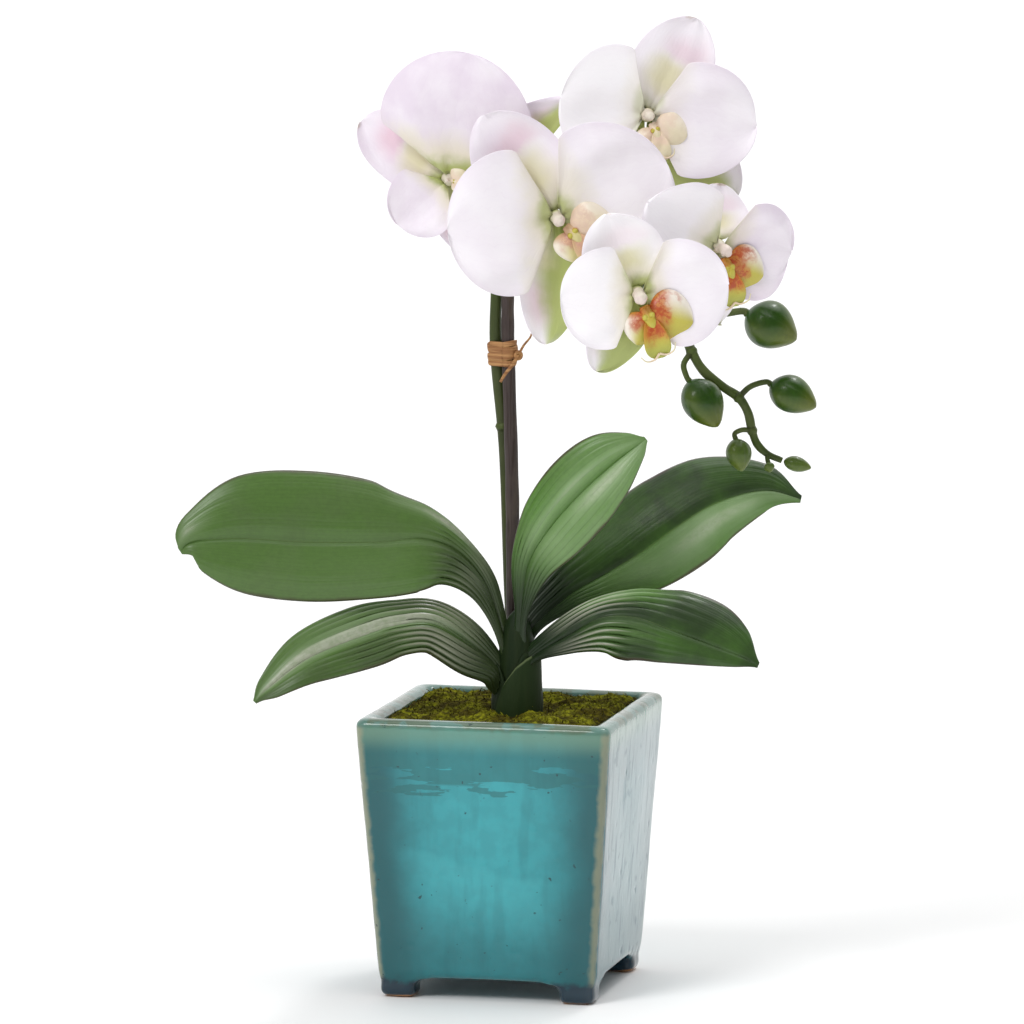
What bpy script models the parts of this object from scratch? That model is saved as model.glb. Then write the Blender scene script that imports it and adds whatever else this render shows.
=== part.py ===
"""Potted orchid: a square glazed pot on four feet, growing medium and moss, five leaves round a
short crown, a staked and tied flower spike with five open flowers and six buds.

All driving dimensions are in millimetres in the plant's own axes: x along the spread of the leaves,
y towards the back, z up. The pot is turned by PLANT_TURN against the plant, and the row frame is
aligned with the pot's sides.
"""
import math

import bmesh
import bpy
from mathutils import Matrix, Vector

MM = 0.001
PLANT_TURN = 13.3
PLANT_LIFT = 1.7

# pot
POT_H = 138.2
POT_TOP = 63.8
POT_BOTTOM = 54.6
POT_CORNER = 5.0
POT_WALL = 10.5
POT_FLOOR = 9.0
RIM_R = 3.6
BASE_TUCK = 2.5
BASE_RISE = 2.0
FOOT_H = 10.0
FOOT_TOP = 25.0
FOOT_TOE = 16.5
FOOT_CORNER = 3.5
# foot rings: height, width, distance in from the pot's base edge
FOOT_RINGS = ((0.0, FOOT_TOE - 1.5, 4.2), (1.2, FOOT_TOE, 3.0), (5.0, FOOT_TOE + 1.5, 1.6),
              (8.0, FOOT_TOE + 4.5, 0.8), (FOOT_H + 0.4, FOOT_TOP, 0.4), (FOOT_H + 4.0, FOOT_TOP, 0.4))
# clearance between pieces that touch
GAP = 0.35

# filling
MEDIUM_TOP = 118.0
MOSS_TOP = 133.0
MOSS_CELLS = 12
FILL_GAP = 0.8
FILL_CORNER = 3.6

# crown, stake and spike
CROWN_AT = (3.0, -13.0)
CROWN_RINGS = ((108.0, 7.0), (124.0, 9.5), (138.0, 11.0), (148.0, 9.2), (158.0, 7.4), (168.0, 5.8),
               (178.0, 4.6), (186.0, 3.2), (189.0, 1.8))
CROWN_FLAT = 0.8
CROWN_SIDES = 14
STAKE_R = 3.3
STAKE_SWELL = 1.12
STAKE_TAPER = 0.2
STAKE_PATH = ((2.0, 4.0, 60.0), (1.6, 3.5, 140.0), (1.0, 3.0, 208.0), (0.4, 2.0, 250.0), (-1.4, 1.0, 313.0),
              (-1.6, 0.4, 342.0))
SPIKE_PATH = ((2.0, 14.0, 104.0), (1.0, 12.5, 150.0), (-0.5, 9.6, 195.0), (-3.2, 8.6, 262.0),
              (-7.4, 5.6, 313.0), (-7.0, 5.0, 341.0), (-5.0, 9.0, 367.0), (3.5, 14.0, 389.0),
              (18.0, 17.0, 404.0), (38.0, 17.0, 410.0), (58.0, 14.0, 408.0), (74.0, 9.0, 396.0),
              (83.5, 2.0, 378.0), (87.5, -4.0, 358.0), (87.5, -10.0, 337.0), (86.0, -13.0, 319.5),
              (89.2, -15.0, 310.3), (94.5, -16.0, 302.5), (103.6, -17.0, 295.3), (110.8, -18.0, 290.5),
              (115.3, -18.0, 283.2), (117.4, -18.0, 274.3), (120.0, -18.0, 267.5), (125.2, -18.0, 262.6),
              (132.0, -18.0, 259.6))
SPIKE_R = ((0.0, 3.1), (0.42, 2.9), (0.6, 2.4), (0.75, 2.3), (0.86, 2.2), (0.95, 1.8), (1.0, 1.4))
SPIKE_SIDES = 8
SPIKE_STEPS = 37

# buds: stalk end, tip, greatest radius, stalk root as a place on the spike path, bend, stalk radius
BUD_SIDES = 12
BUDS = (
    ("large", (114.6, -14.0, 331.2), (138.2, -18.0, 319.1), 11.6, 13.9, (98.0, -12.0, 331.0), 1.9),
    ("hanging", (86.6, -22.0, 299.2), (100.2, -26.0, 277.6), 9.9, 15.7, (84.0, -20.0, 307.0), 1.5),
    ("outer", (126.2, -18.0, 297.0), (147.9, -22.0, 286.5), 9.0, 19.0, (116.5, -18.0, 295.8), 1.5),
    ("small", (109.3, -22.5, 270.8), (112.2, -26.0, 255.6), 6.2, 21.0, (112.5, -21.5, 275.0), 1.3),
    ("tiny", (125.2, -20.5, 259.0), (126.2, -22.4, 254.4), 2.6, 23.0, (125.2, -19.0, 261.6), 1.2),
    ("tip", (132.9, -18.0, 259.3), (146.0, -18.5, 256.0), 3.7, None, None, 0.0),
)

# tie
TIE_Z = (304.5, 316.0)
TIE_T = 1.1
TIE_CLEAR = 0.9
TIE_PLACE = 4
SPIKE_R_AT_TIE = 3.0
KNOT_AT = Vector((3.6, -2.8, 309.5))
KNOT_ENDS = (
    ((0.0, 0.0, 0.0), (2.6, -1.0, 5.0), (5.8, -0.6, 9.0), (7.0, 0.0, 13.5)),
    ((0.0, 0.0, 0.0), (-2.6, -3.0, -4.0), (-6.4, -4.6, -8.6), (-8.8, -4.8, -12.6)),
)

# leaves: midrib points, half widths of the upper and the lower side, tilt of each side above level
LEAF_T = 1.8
LEAF_DOME = 0.32
LEAVES = {
    "leaf_left_upper": dict(
        mid=((-5.4, -13.5, 176.5), (-13.0, -14.5, 199.0), (-26.0, -18.0, 215.0), (-43.0, -22.0, 221.5),
             (-65.0, -26.0, 220.5), (-99.0, -30.0, 221.0), (-132.0, -32.0, 223.0), (-154.0, -33.0, 221.5),
             (-161.0, -33.0, 217.0)),
        up=(3.5, 5.5, 11.5, 22.0, 30.0, 35.0, 31.0, 15.0, 2.0),
        low=(3.5, 8.0, 15.0, 22.0, 26.0, 29.0, 26.0, 14.0, 2.0),
        up_tilt=(60.0, 62.0, 66.0, 70.0, 74.0, 76.0, 76.0, 72.0, 70.0),
        low_tilt=(30.0, 52.0, 62.0, 72.0, 78.0, 80.0, 80.0, 78.0, 70.0)),
    "leaf_left_lower": dict(
        mid=((-7.2, -15.5, 156.5), (-20.0, -20.0, 168.5), (-37.5, -26.0, 180.0), (-54.0, -32.0, 180.5),
             (-71.0, -36.0, 176.0), (-98.5, -42.0, 165.5), (-117.0, -46.0, 152.0), (-124.5, -48.0, 145.0)),
        up=(3.5, 8.0, 13.0, 18.0, 20.0, 17.0, 9.0, 1.5),
        low=(3.5, 9.0, 13.0, 16.0, 17.0, 14.0, 8.0, 1.5),
        up_tilt=(50.0, 46.0, 36.0, 36.0, 42.0, 44.0, 44.0, 44.0),
        low_tilt=(30.0, 50.0, 62.0, 62.0, 62.0, 60.0, 50.0, 44.0)),
    "leaf_centre": dict(
        mid=((5.0, -19.2, 182.5), (8.5, -26.0, 209.0), (19.0, -32.0, 228.0), (34.0, -36.0, 245.5),
             (49.0, -38.0, 259.5), (60.5, -38.5, 268.5), (65.5, -38.5, 272.5)),
        up=(4.0, 12.5, 18.0, 20.5, 18.0, 9.0, 1.5),
        low=(4.0, 11.5, 18.0, 20.5, 17.5, 9.5, 1.5),
        up_tilt=(70.0, 76.0, 80.0, 80.0, 80.0, 80.0, 80.0),
        low_tilt=(60.0, 66.0, 70.0, 70.0, 74.0, 76.0, 78.0)),
    "leaf_right_upper": dict(
        mid=((10.0, -10.0, 174.0), (27.5, -6.0, 190.5), (46.0, -1.0, 201.0), (63.0, 2.0, 211.0),
             (82.0, 6.0, 224.0), (101.0, 10.0, 235.0), (124.0, 12.0, 241.0), (142.5, 12.0, 236.8)),
        up=(3.0, 8.0, 20.0, 30.0, 33.0, 29.0, 16.0, 2.0),
        low=(3.0, 9.0, 16.0, 22.0, 23.0, 19.0, 11.0, 2.0),
        up_tilt=(60.0, 66.0, 58.0, 54.0, 52.0, 52.0, 54.0, 56.0),
        low_tilt=(50.0, 60.0, 66.0, 70.0, 72.0, 70.0, 66.0, 60.0)),
    "leaf_right_lower": dict(
        mid=((10.5, -20.0, 157.0), (25.0, -26.0, 172.0), (43.0, -31.0, 183.5), (60.0, -34.0, 184.5),
             (76.0, -37.0, 179.5), (96.0, -39.0, 172.0), (110.0, -40.0, 166.5), (120.3, -40.5, 162.0)),
        up=(3.0, 8.0, 13.0, 19.0, 24.0, 23.0, 15.0, 1.5),
        low=(3.5, 9.0, 13.5, 17.0, 16.0, 11.0, 6.0, 1.5),
        up_tilt=(60.0, 50.0, 40.0, 44.0, 52.0, 56.0, 58.0, 60.0),
        low_tilt=(40.0, 60.0, 70.0, 76.0, 78.0, 76.0, 72.0, 66.0)),
}

# flowers: centre, facing (turned right, raised), then every tepal as
# (angle round the face, length, width, lean forward, bend forward, edge cup, twist)
TEPAL_T = 1.3
FLOWERS = {
    "a": dict(at=(-30.6, -2.0, 395.8), face=(-14.0, -4.0), down=350.0, size=0.7,
              dorsal=(151.0, 54.0, 36.0, -12.0, 4.0, 2.0, 0.0),
              sepal_l=(282.0, 40.0, 26.0, -8.0, 0.0, 3.0, 0.0),
              sepal_r=(33.0, 71.0, 24.0, -4.0, 0.0, 3.0, 0.0),
              petal_l=(222.0, 34.0, 36.0, 0.0, 6.0, 4.0, 0.0),
              petal_r=(79.0, 65.0, 76.0, 14.0, -10.0, -5.0, 0.0)),
    "b": dict(at=(22.3, -38.0, 380.2), face=(4.0, -4.0), down=317.0, size=1.0,
              dorsal=(126.0, 61.0, 44.0, -6.0, 6.0, 1.5, 0.0),
              sepal_l=(266.0, 64.0, 31.0, -6.0, 2.0, 3.0, 0.0),
              sepal_r=(344.0, 48.0, 28.0, -8.0, 0.0, 3.0, 0.0),
              petal_l=(185.0, 54.0, 71.0, 16.0, -8.0, -3.0, 0.0),
              petal_r=(27.0, 59.0, 74.0, 8.0, 2.0, 5.0, 0.0)),
    "d": dict(at=(66.3, -12.0, 427.7), face=(8.0, 2.0), down=292.0, size=0.85,
              dorsal=(62.0, 53.0, 40.0, -4.0, 12.0, 4.0, 0.0),
              sepal_l=(212.0, 44.0, 27.0, 0.0, 4.0, 3.0, 0.0),
              sepal_r=(321.0, 68.0, 36.0, -2.0, 4.0, 3.0, 0.0),
              petal_l=(168.0, 45.0, 62.0, 8.0, -2.0, 5.0, 0.0),
              petal_r=(-6.0, 53.0, 56.0, 8.0, 2.0, 5.0, 0.0)),
    "e": dict(at=(99.8, -54.0, 367.8), face=(26.0, -10.0), down=300.0, size=0.8,
              dorsal=(84.0, 28.0, 24.0, -22.0, 0.0, 3.0, 0.0),
              sepal_l=(212.0, 34.0, 20.0, -2.0, 0.0, 3.0, 0.0),
              sepal_r=(282.0, 42.0, 22.0, -6.0, 0.0, 3.0, 0.0),
              petal_l=(148.0, 49.0, 40.0, 8.0, 4.0, 5.0, 0.0),
              petal_r=(-5.0, 38.0, 48.0, 8.0, 2.0, 5.0, 0.0)),
    "f": dict(at=(60.8, -86.0, 347.9), face=(6.0, -6.0), down=294.0, size=0.86,
              dorsal=(118.0, 41.0, 31.0, -4.0, 14.0, 4.0, 0.0),
              sepal_l=(243.0, 43.0, 27.0, -2.0, 4.0, 3.0, 0.0),
              sepal_r=(318.0, 34.0, 22.0, -8.0, 0.0, 3.0, 0.0),
              petal_l=(182.0, 38.0, 50.0, 12.0, -4.0, 4.0, 0.0),
              petal_r=(6.0, 43.0, 52.0, 8.0, 2.0, 4.0, 0.0)),
}
SEPAL_BACK = -3.2
PETAL_FRONT = 1.4
TEPAL_START = 5.0
# pedicels: place on the spike path, bend, and how far behind the flower's centre they end
PEDICEL_ROOT = {"a": 6.4, "b": 7.3, "d": 9.5, "e": 12.1, "f": 13.2}
PEDICEL_BEND = {"a": (-14.0, 10.0, 388.0), "b": (16.0, 0.0, 390.0), "d": (60.0, 8.0, 424.0),
                "e": (90.0, -20.0, 374.0), "f": (74.0, -40.0, 356.0)}
PEDICEL_BEHIND = 7.2
PEDICEL_R = 1.7
# column: foot rings then rings that grow with the flower, each (outward, downward, radius)
COLUMN_FOOT = ((-6.0, 0.0, 2.6), (-3.0, 0.0, 3.6))
COLUMN_RINGS = ((1.0, 0.0, 3.7), (5.0, -0.4, 3.0), (9.0, -0.2, 3.5), (12.0, 1.2, 3.6), (13.6, 3.0, 1.8))
# lip: throat from the flower's centre, body rings from the throat (outward, downward, radius)
THROAT = (5.5, 9.2)
LIP_RINGS = ((-1.0, -3.4, 2.6), (0.0, 0.0, 3.4), (4.0, 5.0, 3.0), (6.5, 9.0, 1.8))
# lobes: turn from downward, start (outward, downward), length, width, lean, bend, cup, point
LOBES = (
    (60.0, (0.0, 0.0), 23.0, 21.0, 6.0, 46.0, 4.5, 0.9),
    (-60.0, (0.0, 0.0), 21.0, 19.0, 6.0, 46.0, 4.5, 0.9),
    (0.0, (3.2, 4.0), 21.0, 15.0, 30.0, -34.0, 2.0, 0.8),
)
LOBE_T = 1.4
# tendrils from the middle lobe's tip: (outward, downward, sideways)
TENDRIL = ((9.6, 22.0, 0.0), (9.6, 26.0, 4.0), (11.1, 23.5, 8.5))

# base colour and roughness of each material
COLOURS = {
    "pot": ((0.05, 0.30, 0.33), 0.16),
    "moss": ((0.20, 0.20, 0.04), 0.95),
    "medium": ((0.05, 0.035, 0.02), 0.95),
    "leaf": ((0.035, 0.10, 0.035), 0.38),
    "crown": ((0.03, 0.06, 0.02), 0.5),
    "stem": ((0.09, 0.15, 0.04), 0.5),
    "stake": ((0.03, 0.018, 0.014), 0.55),
    "tie": ((0.40, 0.21, 0.10), 0.8),
    "petal": ((0.85, 0.80, 0.86), 0.55),
    "sepal": ((0.84, 0.80, 0.80), 0.55),
    "lip": ((0.75, 0.45, 0.12), 0.5),
    "column": ((0.85, 0.80, 0.78), 0.5),
    "bud": ((0.08, 0.16, 0.03), 0.35),
}


def turned(p):
    a = math.radians(PLANT_TURN)
    return Vector((p[0] * math.cos(a) - p[1] * math.sin(a), p[0] * math.sin(a) + p[1] * math.cos(a),
                   p[2] + PLANT_LIFT))


def material(slot):
    mat = bpy.data.materials.get(slot)
    if mat is None:
        mat = bpy.data.materials.new(slot)
        mat.use_nodes = True
        shader = mat.node_tree.nodes["Principled BSDF"]
        colour, rough = COLOURS[slot]
        shader.inputs["Base Color"].default_value = (*colour, 1.0)
        shader.inputs["Roughness"].default_value = rough
        shader.inputs["Metallic"].default_value = 0.0
    return mat


def make(name, verts, faces, slot=None, plant=True, smooth=True):
    """One closed mesh object from millimetre points, wound outwards."""
    points = [turned(p) if plant else Vector(p) for p in verts]
    mesh = bpy.data.meshes.new(name)
    mesh.from_pydata([p * MM for p in points], [], faces)
    bm = bmesh.new()
    bm.from_mesh(mesh)
    bmesh.ops.recalc_face_normals(bm, faces=bm.faces)
    if bm.calc_volume(signed=True) < 0.0:
        bmesh.ops.reverse_faces(bm, faces=bm.faces)
    bm.to_mesh(mesh)
    bm.free()
    mesh.polygons.foreach_set("use_smooth", [smooth] * len(mesh.polygons))
    obj = bpy.data.objects.new(name, mesh)
    bpy.context.collection.objects.link(obj)
    if slot:
        mesh.materials.append(material(slot))
    return obj


def combine(base, others, operation):
    """Boolean of one object with several, kept as plain geometry under the first object's name."""
    for other in others:
        modifier = base.modifiers.new("join", "BOOLEAN")
        modifier.operation = operation
        modifier.solver = "EXACT"
        modifier.use_self = operation == "UNION"
        modifier.object = other
    bpy.context.view_layer.update()
    result = bpy.data.meshes.new_from_object(base.evaluated_get(bpy.context.evaluated_depsgraph_get()))
    base.modifiers.clear()
    old = base.data
    base.data = result
    bpy.data.meshes.remove(old)
    for other in others:
        data = other.data
        bpy.data.objects.remove(other)
        bpy.data.meshes.remove(data)
    result.name = base.name
    return base


def curve_points(points, count):
    """Even-by-parameter Catmull-Rom samples through the control points."""
    pts = [Vector(p) for p in points]
    pts = [2 * pts[0] - pts[1]] + pts + [2 * pts[-1] - pts[-2]]
    spans = len(pts) - 3
    out = []
    for i in range(count):
        t = i / (count - 1) * spans
        k = min(int(t), spans - 1)
        f = t - k
        a, b, c, d = pts[k:k + 4]
        out.append(0.5 * (2 * b + (c - a) * f + (2 * a - 5 * b + 4 * c - d) * f * f
                          + (3 * b - a - 3 * c + d) * f * f * f))
    return out


def along(values, t):
    """Smooth value at t (0..1) from an evenly spaced list."""
    spans = len(values) - 1
    x = min(max(t, 0.0), 1.0) * spans
    k = min(int(x), spans - 1)
    f = x - k
    v = [values[max(k - 1, 0)], values[k], values[k + 1], values[min(k + 2, spans)]]
    return 0.5 * (2 * v[1] + (v[2] - v[0]) * f + (2 * v[0] - 5 * v[1] + 4 * v[2] - v[3]) * f * f
                  + (3 * v[1] - v[0] - 3 * v[2] + v[3]) * f * f * f)


def lerp_table(table, t):
    for (t0, v0), (t1, v1) in zip(table, table[1:]):
        if t <= t1:
            return v0 + (v1 - v0) * (t - t0) / (t1 - t0)
    return table[-1][1]


def tube(name, path, radius, sides, slot=None):
    """Round tube with closed ends; radius is a function of 0..1 along the path."""
    n = len(path)
    verts, faces = [], []
    side = None
    for i, p in enumerate(path):
        t = (path[min(i + 1, n - 1)] - path[max(i - 1, 0)]).normalized()
        if side is None:
            side = t.cross(Vector((0.3, 1.0, 0.1))).normalized()
        side = (side - t * side.dot(t)).normalized()
        other = t.cross(side)
        r = radius(i / (n - 1))
        for k in range(sides):
            a = 2 * math.pi * k / sides
            verts.append(p + (side * math.cos(a) + other * math.sin(a)) * r)
    for i in range(n - 1):
        for k in range(sides):
            j = (k + 1) % sides
            faces.append((i * sides + k, i * sides + j, (i + 1) * sides + j, (i + 1) * sides + k))
    faces.append(tuple(range(sides)))
    faces.append(tuple((n - 1) * sides + k for k in range(sides)))
    return make(name, verts, faces, slot)


def skin(name, grid, thickness, slot):
    """Closed sheet of even thickness about a grid of points."""
    nu, nv = len(grid), len(grid[0])
    top, low = [], []
    for i in range(nu):
        for j in range(nv):
            du = grid[min(i + 1, nu - 1)][j] - grid[max(i - 1, 0)][j]
            dv = grid[i][min(j + 1, nv - 1)] - grid[i][max(j - 1, 0)]
            n = du.cross(dv).normalized() * thickness / 2
            top.append(grid[i][j] + n)
            low.append(grid[i][j] - n)
    m = nu * nv
    faces = []
    for i in range(nu - 1):
        for j in range(nv - 1):
            q = (i * nv + j, i * nv + j + 1, (i + 1) * nv + j + 1, (i + 1) * nv + j)
            faces.append(q)
            faces.append(tuple(m + k for k in reversed(q)))
    rim = [j for j in range(nv)] + [i * nv + nv - 1 for i in range(1, nu)]
    rim += [(nu - 1) * nv + j for j in range(nv - 2, -1, -1)] + [i * nv for i in range(nu - 2, 0, -1)]
    for a, b in zip(rim, rim[1:] + rim[:1]):
        faces.append((a, m + a, m + b, b))
    return make(name, top + low, faces, slot)


def rounded_square(half, corner, z, segments=4):
    pts = []
    flat = half - corner
    for cx, cy, start in ((1, 1, 0), (-1, 1, 90), (-1, -1, 180), (1, -1, 270)):
        for k in range(segments + 1):
            a = math.radians(start + 90.0 * k / segments)
            pts.append((flat * cx + corner * math.cos(a), flat * cy + corner * math.sin(a), z))
    return pts


def stack(name, loops, slot, plant=False):
    """Closed solid through matching loops, capped at both ends."""
    n = len(loops[0])
    verts = [p for loop in loops for p in loop]
    faces = []
    for i in range(len(loops) - 1):
        for k in range(n):
            j = (k + 1) % n
            faces.append((i * n + k, i * n + j, (i + 1) * n + j, (i + 1) * n + k))
    faces.append(tuple(range(n)))
    faces.append(tuple((len(loops) - 1) * n + k for k in range(n)))
    return make(name, verts, faces, slot, plant)


def pot_half(z):
    return POT_BOTTOM + (POT_TOP - POT_BOTTOM) * (z - FOOT_H) / (POT_H - FOOT_H)


def inner_half(z):
    return pot_half(z) - POT_WALL


def build_pot():
    outer = [rounded_square(pot_half(FOOT_H) - BASE_TUCK, POT_CORNER - 1.5, FOOT_H),
             rounded_square(pot_half(FOOT_H + BASE_RISE), POT_CORNER, FOOT_H + BASE_RISE),
             rounded_square(pot_half(POT_H - RIM_R), POT_CORNER, POT_H - RIM_R)]
    for angle in (35.0, 65.0, 90.0):
        back = RIM_R * (1 - math.cos(math.radians(angle)))
        drop = RIM_R * (1 - math.sin(math.radians(angle)))
        outer.append(rounded_square(pot_half(POT_H) - back, POT_CORNER, POT_H - drop))
    lip_half = inner_half(POT_H)
    inner = [rounded_square(lip_half + RIM_R, POT_CORNER, POT_H)]
    for angle in (65.0, 35.0, 0.0):
        back = RIM_R * (1 - math.cos(math.radians(angle)))
        drop = RIM_R * (1 - math.sin(math.radians(angle)))
        inner.append(rounded_square(lip_half + back, POT_CORNER - 1.0, POT_H - drop))
    floor = FOOT_H + POT_FLOOR
    inner.append(rounded_square(inner_half(floor), POT_CORNER - 1.0, floor))
    pot = stack("pot", outer + inner, "pot")
    feet = []
    for sx in (-1, 1):
        for sy in (-1, 1):
            loops = []
            for z, width, inset in FOOT_RINGS:
                mid = pot_half(FOOT_H) - inset - width / 2
                ring = rounded_square(width / 2, FOOT_CORNER, z, 3)
                loops.append([(x + sx * mid, y + sy * mid, z) for x, y, z in ring])
            feet.append(stack("foot", loops, None))
    return combine(pot, feet, "UNION")


def moss_height(x, y):
    bump = 1.3 * math.sin(x * 0.21 + 1.3) * math.cos(y * 0.19 - 0.4) + 0.9 * math.sin(x * 0.43 - y * 0.37)
    edge = max(abs(x), abs(y)) / inner_half(MOSS_TOP)
    return MOSS_TOP + bump + 1.5 * (1.0 - edge ** 4) - 1.0 * edge ** 6


def build_medium():
    floor = FOOT_H + POT_FLOOR + GAP
    loops = [rounded_square(inner_half(z) - FILL_GAP, FILL_CORNER, z) for z in (floor, MEDIUM_TOP)]
    return stack("growing_medium", loops, "medium")


def build_moss():
    """Moss bed: an uneven top over a flat underside, with slightly rounded corners."""
    n = MOSS_CELLS
    half = inner_half(MEDIUM_TOP) - FILL_GAP
    verts, faces = [], []
    for i in range(n + 1):
        for j in range(n + 1):
            x, y = half * (2 * i / n - 1), half * (2 * j / n - 1)
            pull = 1.0 - 0.06 * (abs(x) * abs(y) / half ** 2) ** 4
            verts.append((x * pull, y * pull, moss_height(x, y)))
    for i in range(n):
        for j in range(n):
            a = i * (n + 1) + j
            faces.append((a, a + 1, a + n + 2, a + n + 1))
    rim = list(range(n + 1)) + [i * (n + 1) + n for i in range(1, n + 1)]
    rim += [n * (n + 1) + j for j in range(n - 1, -1, -1)] + [i * (n + 1) for i in range(n - 1, 0, -1)]
    under = len(verts)
    verts += [(verts[k][0], verts[k][1], MEDIUM_TOP + GAP) for k in rim]
    m = len(rim)
    for k in range(m):
        j = (k + 1) % m
        faces.append((rim[k], under + k, under + j, rim[j]))
    faces.append(tuple(under + k for k in range(m)))
    return make("moss", verts, faces, "moss", plant=False)


def crown_loops(grow, deeper=0.0):
    loops = []
    for i, (z, r) in enumerate(CROWN_RINGS):
        level = z - deeper if i == 0 else z
        loop = []
        for k in range(CROWN_SIDES):
            a = 2 * math.pi * k / CROWN_SIDES
            loop.append((CROWN_AT[0] + (r + grow) * math.cos(a),
                         CROWN_AT[1] + CROWN_FLAT * (r + grow) * math.sin(a), level))
        loops.append(loop)
    return loops


def spike_at(place):
    """Point on the spike at a place counted in control points from its foot."""
    fine = curve_points(SPIKE_PATH, (len(SPIKE_PATH) - 1) * 10 + 1)
    return fine[round(place * 10)]


def pedicel_path(key, spec):
    right, up, out = face_axes(spec)
    end = Vector(spec["at"]) - out * (PEDICEL_BEHIND + GAP)
    return curve_points((spike_at(PEDICEL_ROOT[key]), PEDICEL_BEND[key], end - out * 6.0, end), 9)


def stalk_path(start, tip, root, bend):
    axis = (Vector(tip) - Vector(start)).normalized()
    end = Vector(start) - axis * (GAP + 0.5)
    return curve_points((spike_at(root), bend, end - axis * 2.5, end), 8)


def stalk_swell(t):
    """Relative radius of a bud's stalk, wider again just under the bud."""
    return 1.0 - 0.1 * t + 0.35 * max(t - 0.7, 0.0)


def build_spike():
    main_stem = tube("flower_spike", curve_points(SPIKE_PATH, SPIKE_STEPS), lambda t: lerp_table(SPIKE_R, t),
                     SPIKE_SIDES, "stem")
    stalks = []
    for name, start, tip, r, root, bend, width in BUDS:
        if root is not None:
            path = stalk_path(start, tip, root, bend)
            stalks.append(tube("stalk", path, lambda t, w=width: w * stalk_swell(t), 7))
    for key, spec in FLOWERS.items():
        stalks.append(tube("pedicel", pedicel_path(key, spec), lambda t: PEDICEL_R + 0.5 * t, 7))
    return combine(main_stem, stalks, "UNION")


def stake_radius(t):
    return STAKE_R * (STAKE_SWELL - STAKE_TAPER * t)


def drill_filling(pieces):
    """Holes through medium and moss for crown, stake and spike, a little wider than each."""
    below = Vector((0.0, 0.0, -GAP))
    for target in pieces:
        stake_hole = curve_points(STAKE_PATH, 12)[:6]
        spike_hole = curve_points(SPIKE_PATH, SPIKE_STEPS)[:4]
        stake_cut = STAKE_R * STAKE_SWELL + GAP
        spike_cut = SPIKE_R[0][1] + GAP + 0.1
        cutters = [stack("cut", crown_loops(GAP, deeper=GAP), None, plant=True),
                   tube("cut", [stake_hole[0] + below] + stake_hole, lambda t, r=stake_cut: r, 10),
                   tube("cut", [spike_hole[0] + below] + spike_hole, lambda t, r=spike_cut: r, SPIKE_SIDES)]
        combine(target, cutters, "DIFFERENCE")


def face_axes(spec):
    """Right, up and outward axes of a flower as it is looked at from its own front."""
    yaw, pitch = (math.radians(a) for a in spec["face"])
    out = Vector((math.sin(yaw) * math.cos(pitch), -math.cos(yaw) * math.cos(pitch), math.sin(pitch)))
    right = Vector((math.cos(yaw), math.sin(yaw), 0.0))
    return right, right.cross(out) * -1.0, out


def in_face(spec, angle):
    """Direction at an angle round the flower's face, and the direction a quarter turn further."""
    right, up, out = face_axes(spec)
    a = math.radians(angle)
    return right * math.cos(a) + up * math.sin(a), up * math.cos(a) - right * math.sin(a)


def width_shape(s, petal):
    """Relative half width of a tepal along its length."""
    if petal:
        body = max(math.sin(math.pi * s ** 0.86), 0.0) ** 0.62
        return body * min(1.0, 0.25 + 2.6 * s) + 0.10 * (1 - s) ** 4
    body = max(math.sin(math.pi * s ** 0.88), 0.0) ** 0.72
    return body * min(1.0, 0.35 + 2.0 * s) + 0.16 * (1 - s) ** 3


def tepal_row(row, nu):
    return 1.0 - (1.0 - row / nu) ** 1.25


def tepal_grid(spec, part, nu, nv):
    angle, length, width, lean, bend, cup, twist = spec[part]
    petal = part.startswith("petal")
    out = face_axes(spec)[2]
    d, t = in_face(spec, angle)
    p = Vector(spec["at"]) + d * TEPAL_START + out * (PETAL_FRONT if petal else SEPAL_BACK)
    steps = 4 * nu
    grid = []
    row = 0
    for i in range(steps + 1):
        s = i / steps
        phi = math.radians(lean + bend * s)
        if i:
            p = p + (d * math.cos(phi) + out * math.sin(phi)) * ((length - TEPAL_START) / steps)
        while row <= nu and tepal_row(row, nu) <= s + 1e-6:
            m = out * math.cos(phi) - d * math.sin(phi)
            tw = math.radians(twist) * s
            side = t * math.cos(tw) + m * math.sin(tw)
            lift = m * math.cos(tw) - t * math.sin(tw)
            shape = max(width_shape(tepal_row(row, nu), petal), 0.05)
            half = width / 2 * shape
            line = []
            for j in range(nv + 1):
                v = math.sin(math.pi / 2 * (2 * j / nv - 1))
                line.append(p + side * half * v + lift * cup * shape * (v * v - 0.15))
            grid.append(line)
            row += 1
    return grid


def build_column(key, spec):
    out = face_axes(spec)[2]
    down = in_face(spec, spec["down"])[0]
    k = spec["size"]
    rings = list(COLUMN_FOOT) + [(o * k, d * k, r * k if o > 1.0 else r) for o, d, r in COLUMN_RINGS]
    path = [Vector(spec["at"]) + out * o + down * d for o, d, r in rings]
    radii = [r for o, d, r in rings]
    return tube("flower_%s_column" % key, path, lambda t: radii[round(t * (len(radii) - 1))], 8, "column")


def lobe(spec, origin, angle, length, width, lean, bend, cup, point, nu=5, nv=4):
    out = face_axes(spec)[2]
    d, t = in_face(spec, angle)
    p = origin.copy()
    grid = []
    for i in range(nu + 1):
        s = i / nu
        phi = math.radians(lean + bend * s)
        m = out * math.cos(phi) - d * math.sin(phi)
        shape = max(math.sin(math.pi * (0.12 + 0.86 * s) ** point) ** 0.8, 0.12)
        grid.append([p + t * width / 2 * shape * v + m * cup * shape * v * v
                     for v in [2 * j / nv - 1 for j in range(nv + 1)]])
        p = p + (d * math.cos(phi) + out * math.sin(phi)) * (length / nu)
    return skin("lobe", grid, LOBE_T, None)


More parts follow.
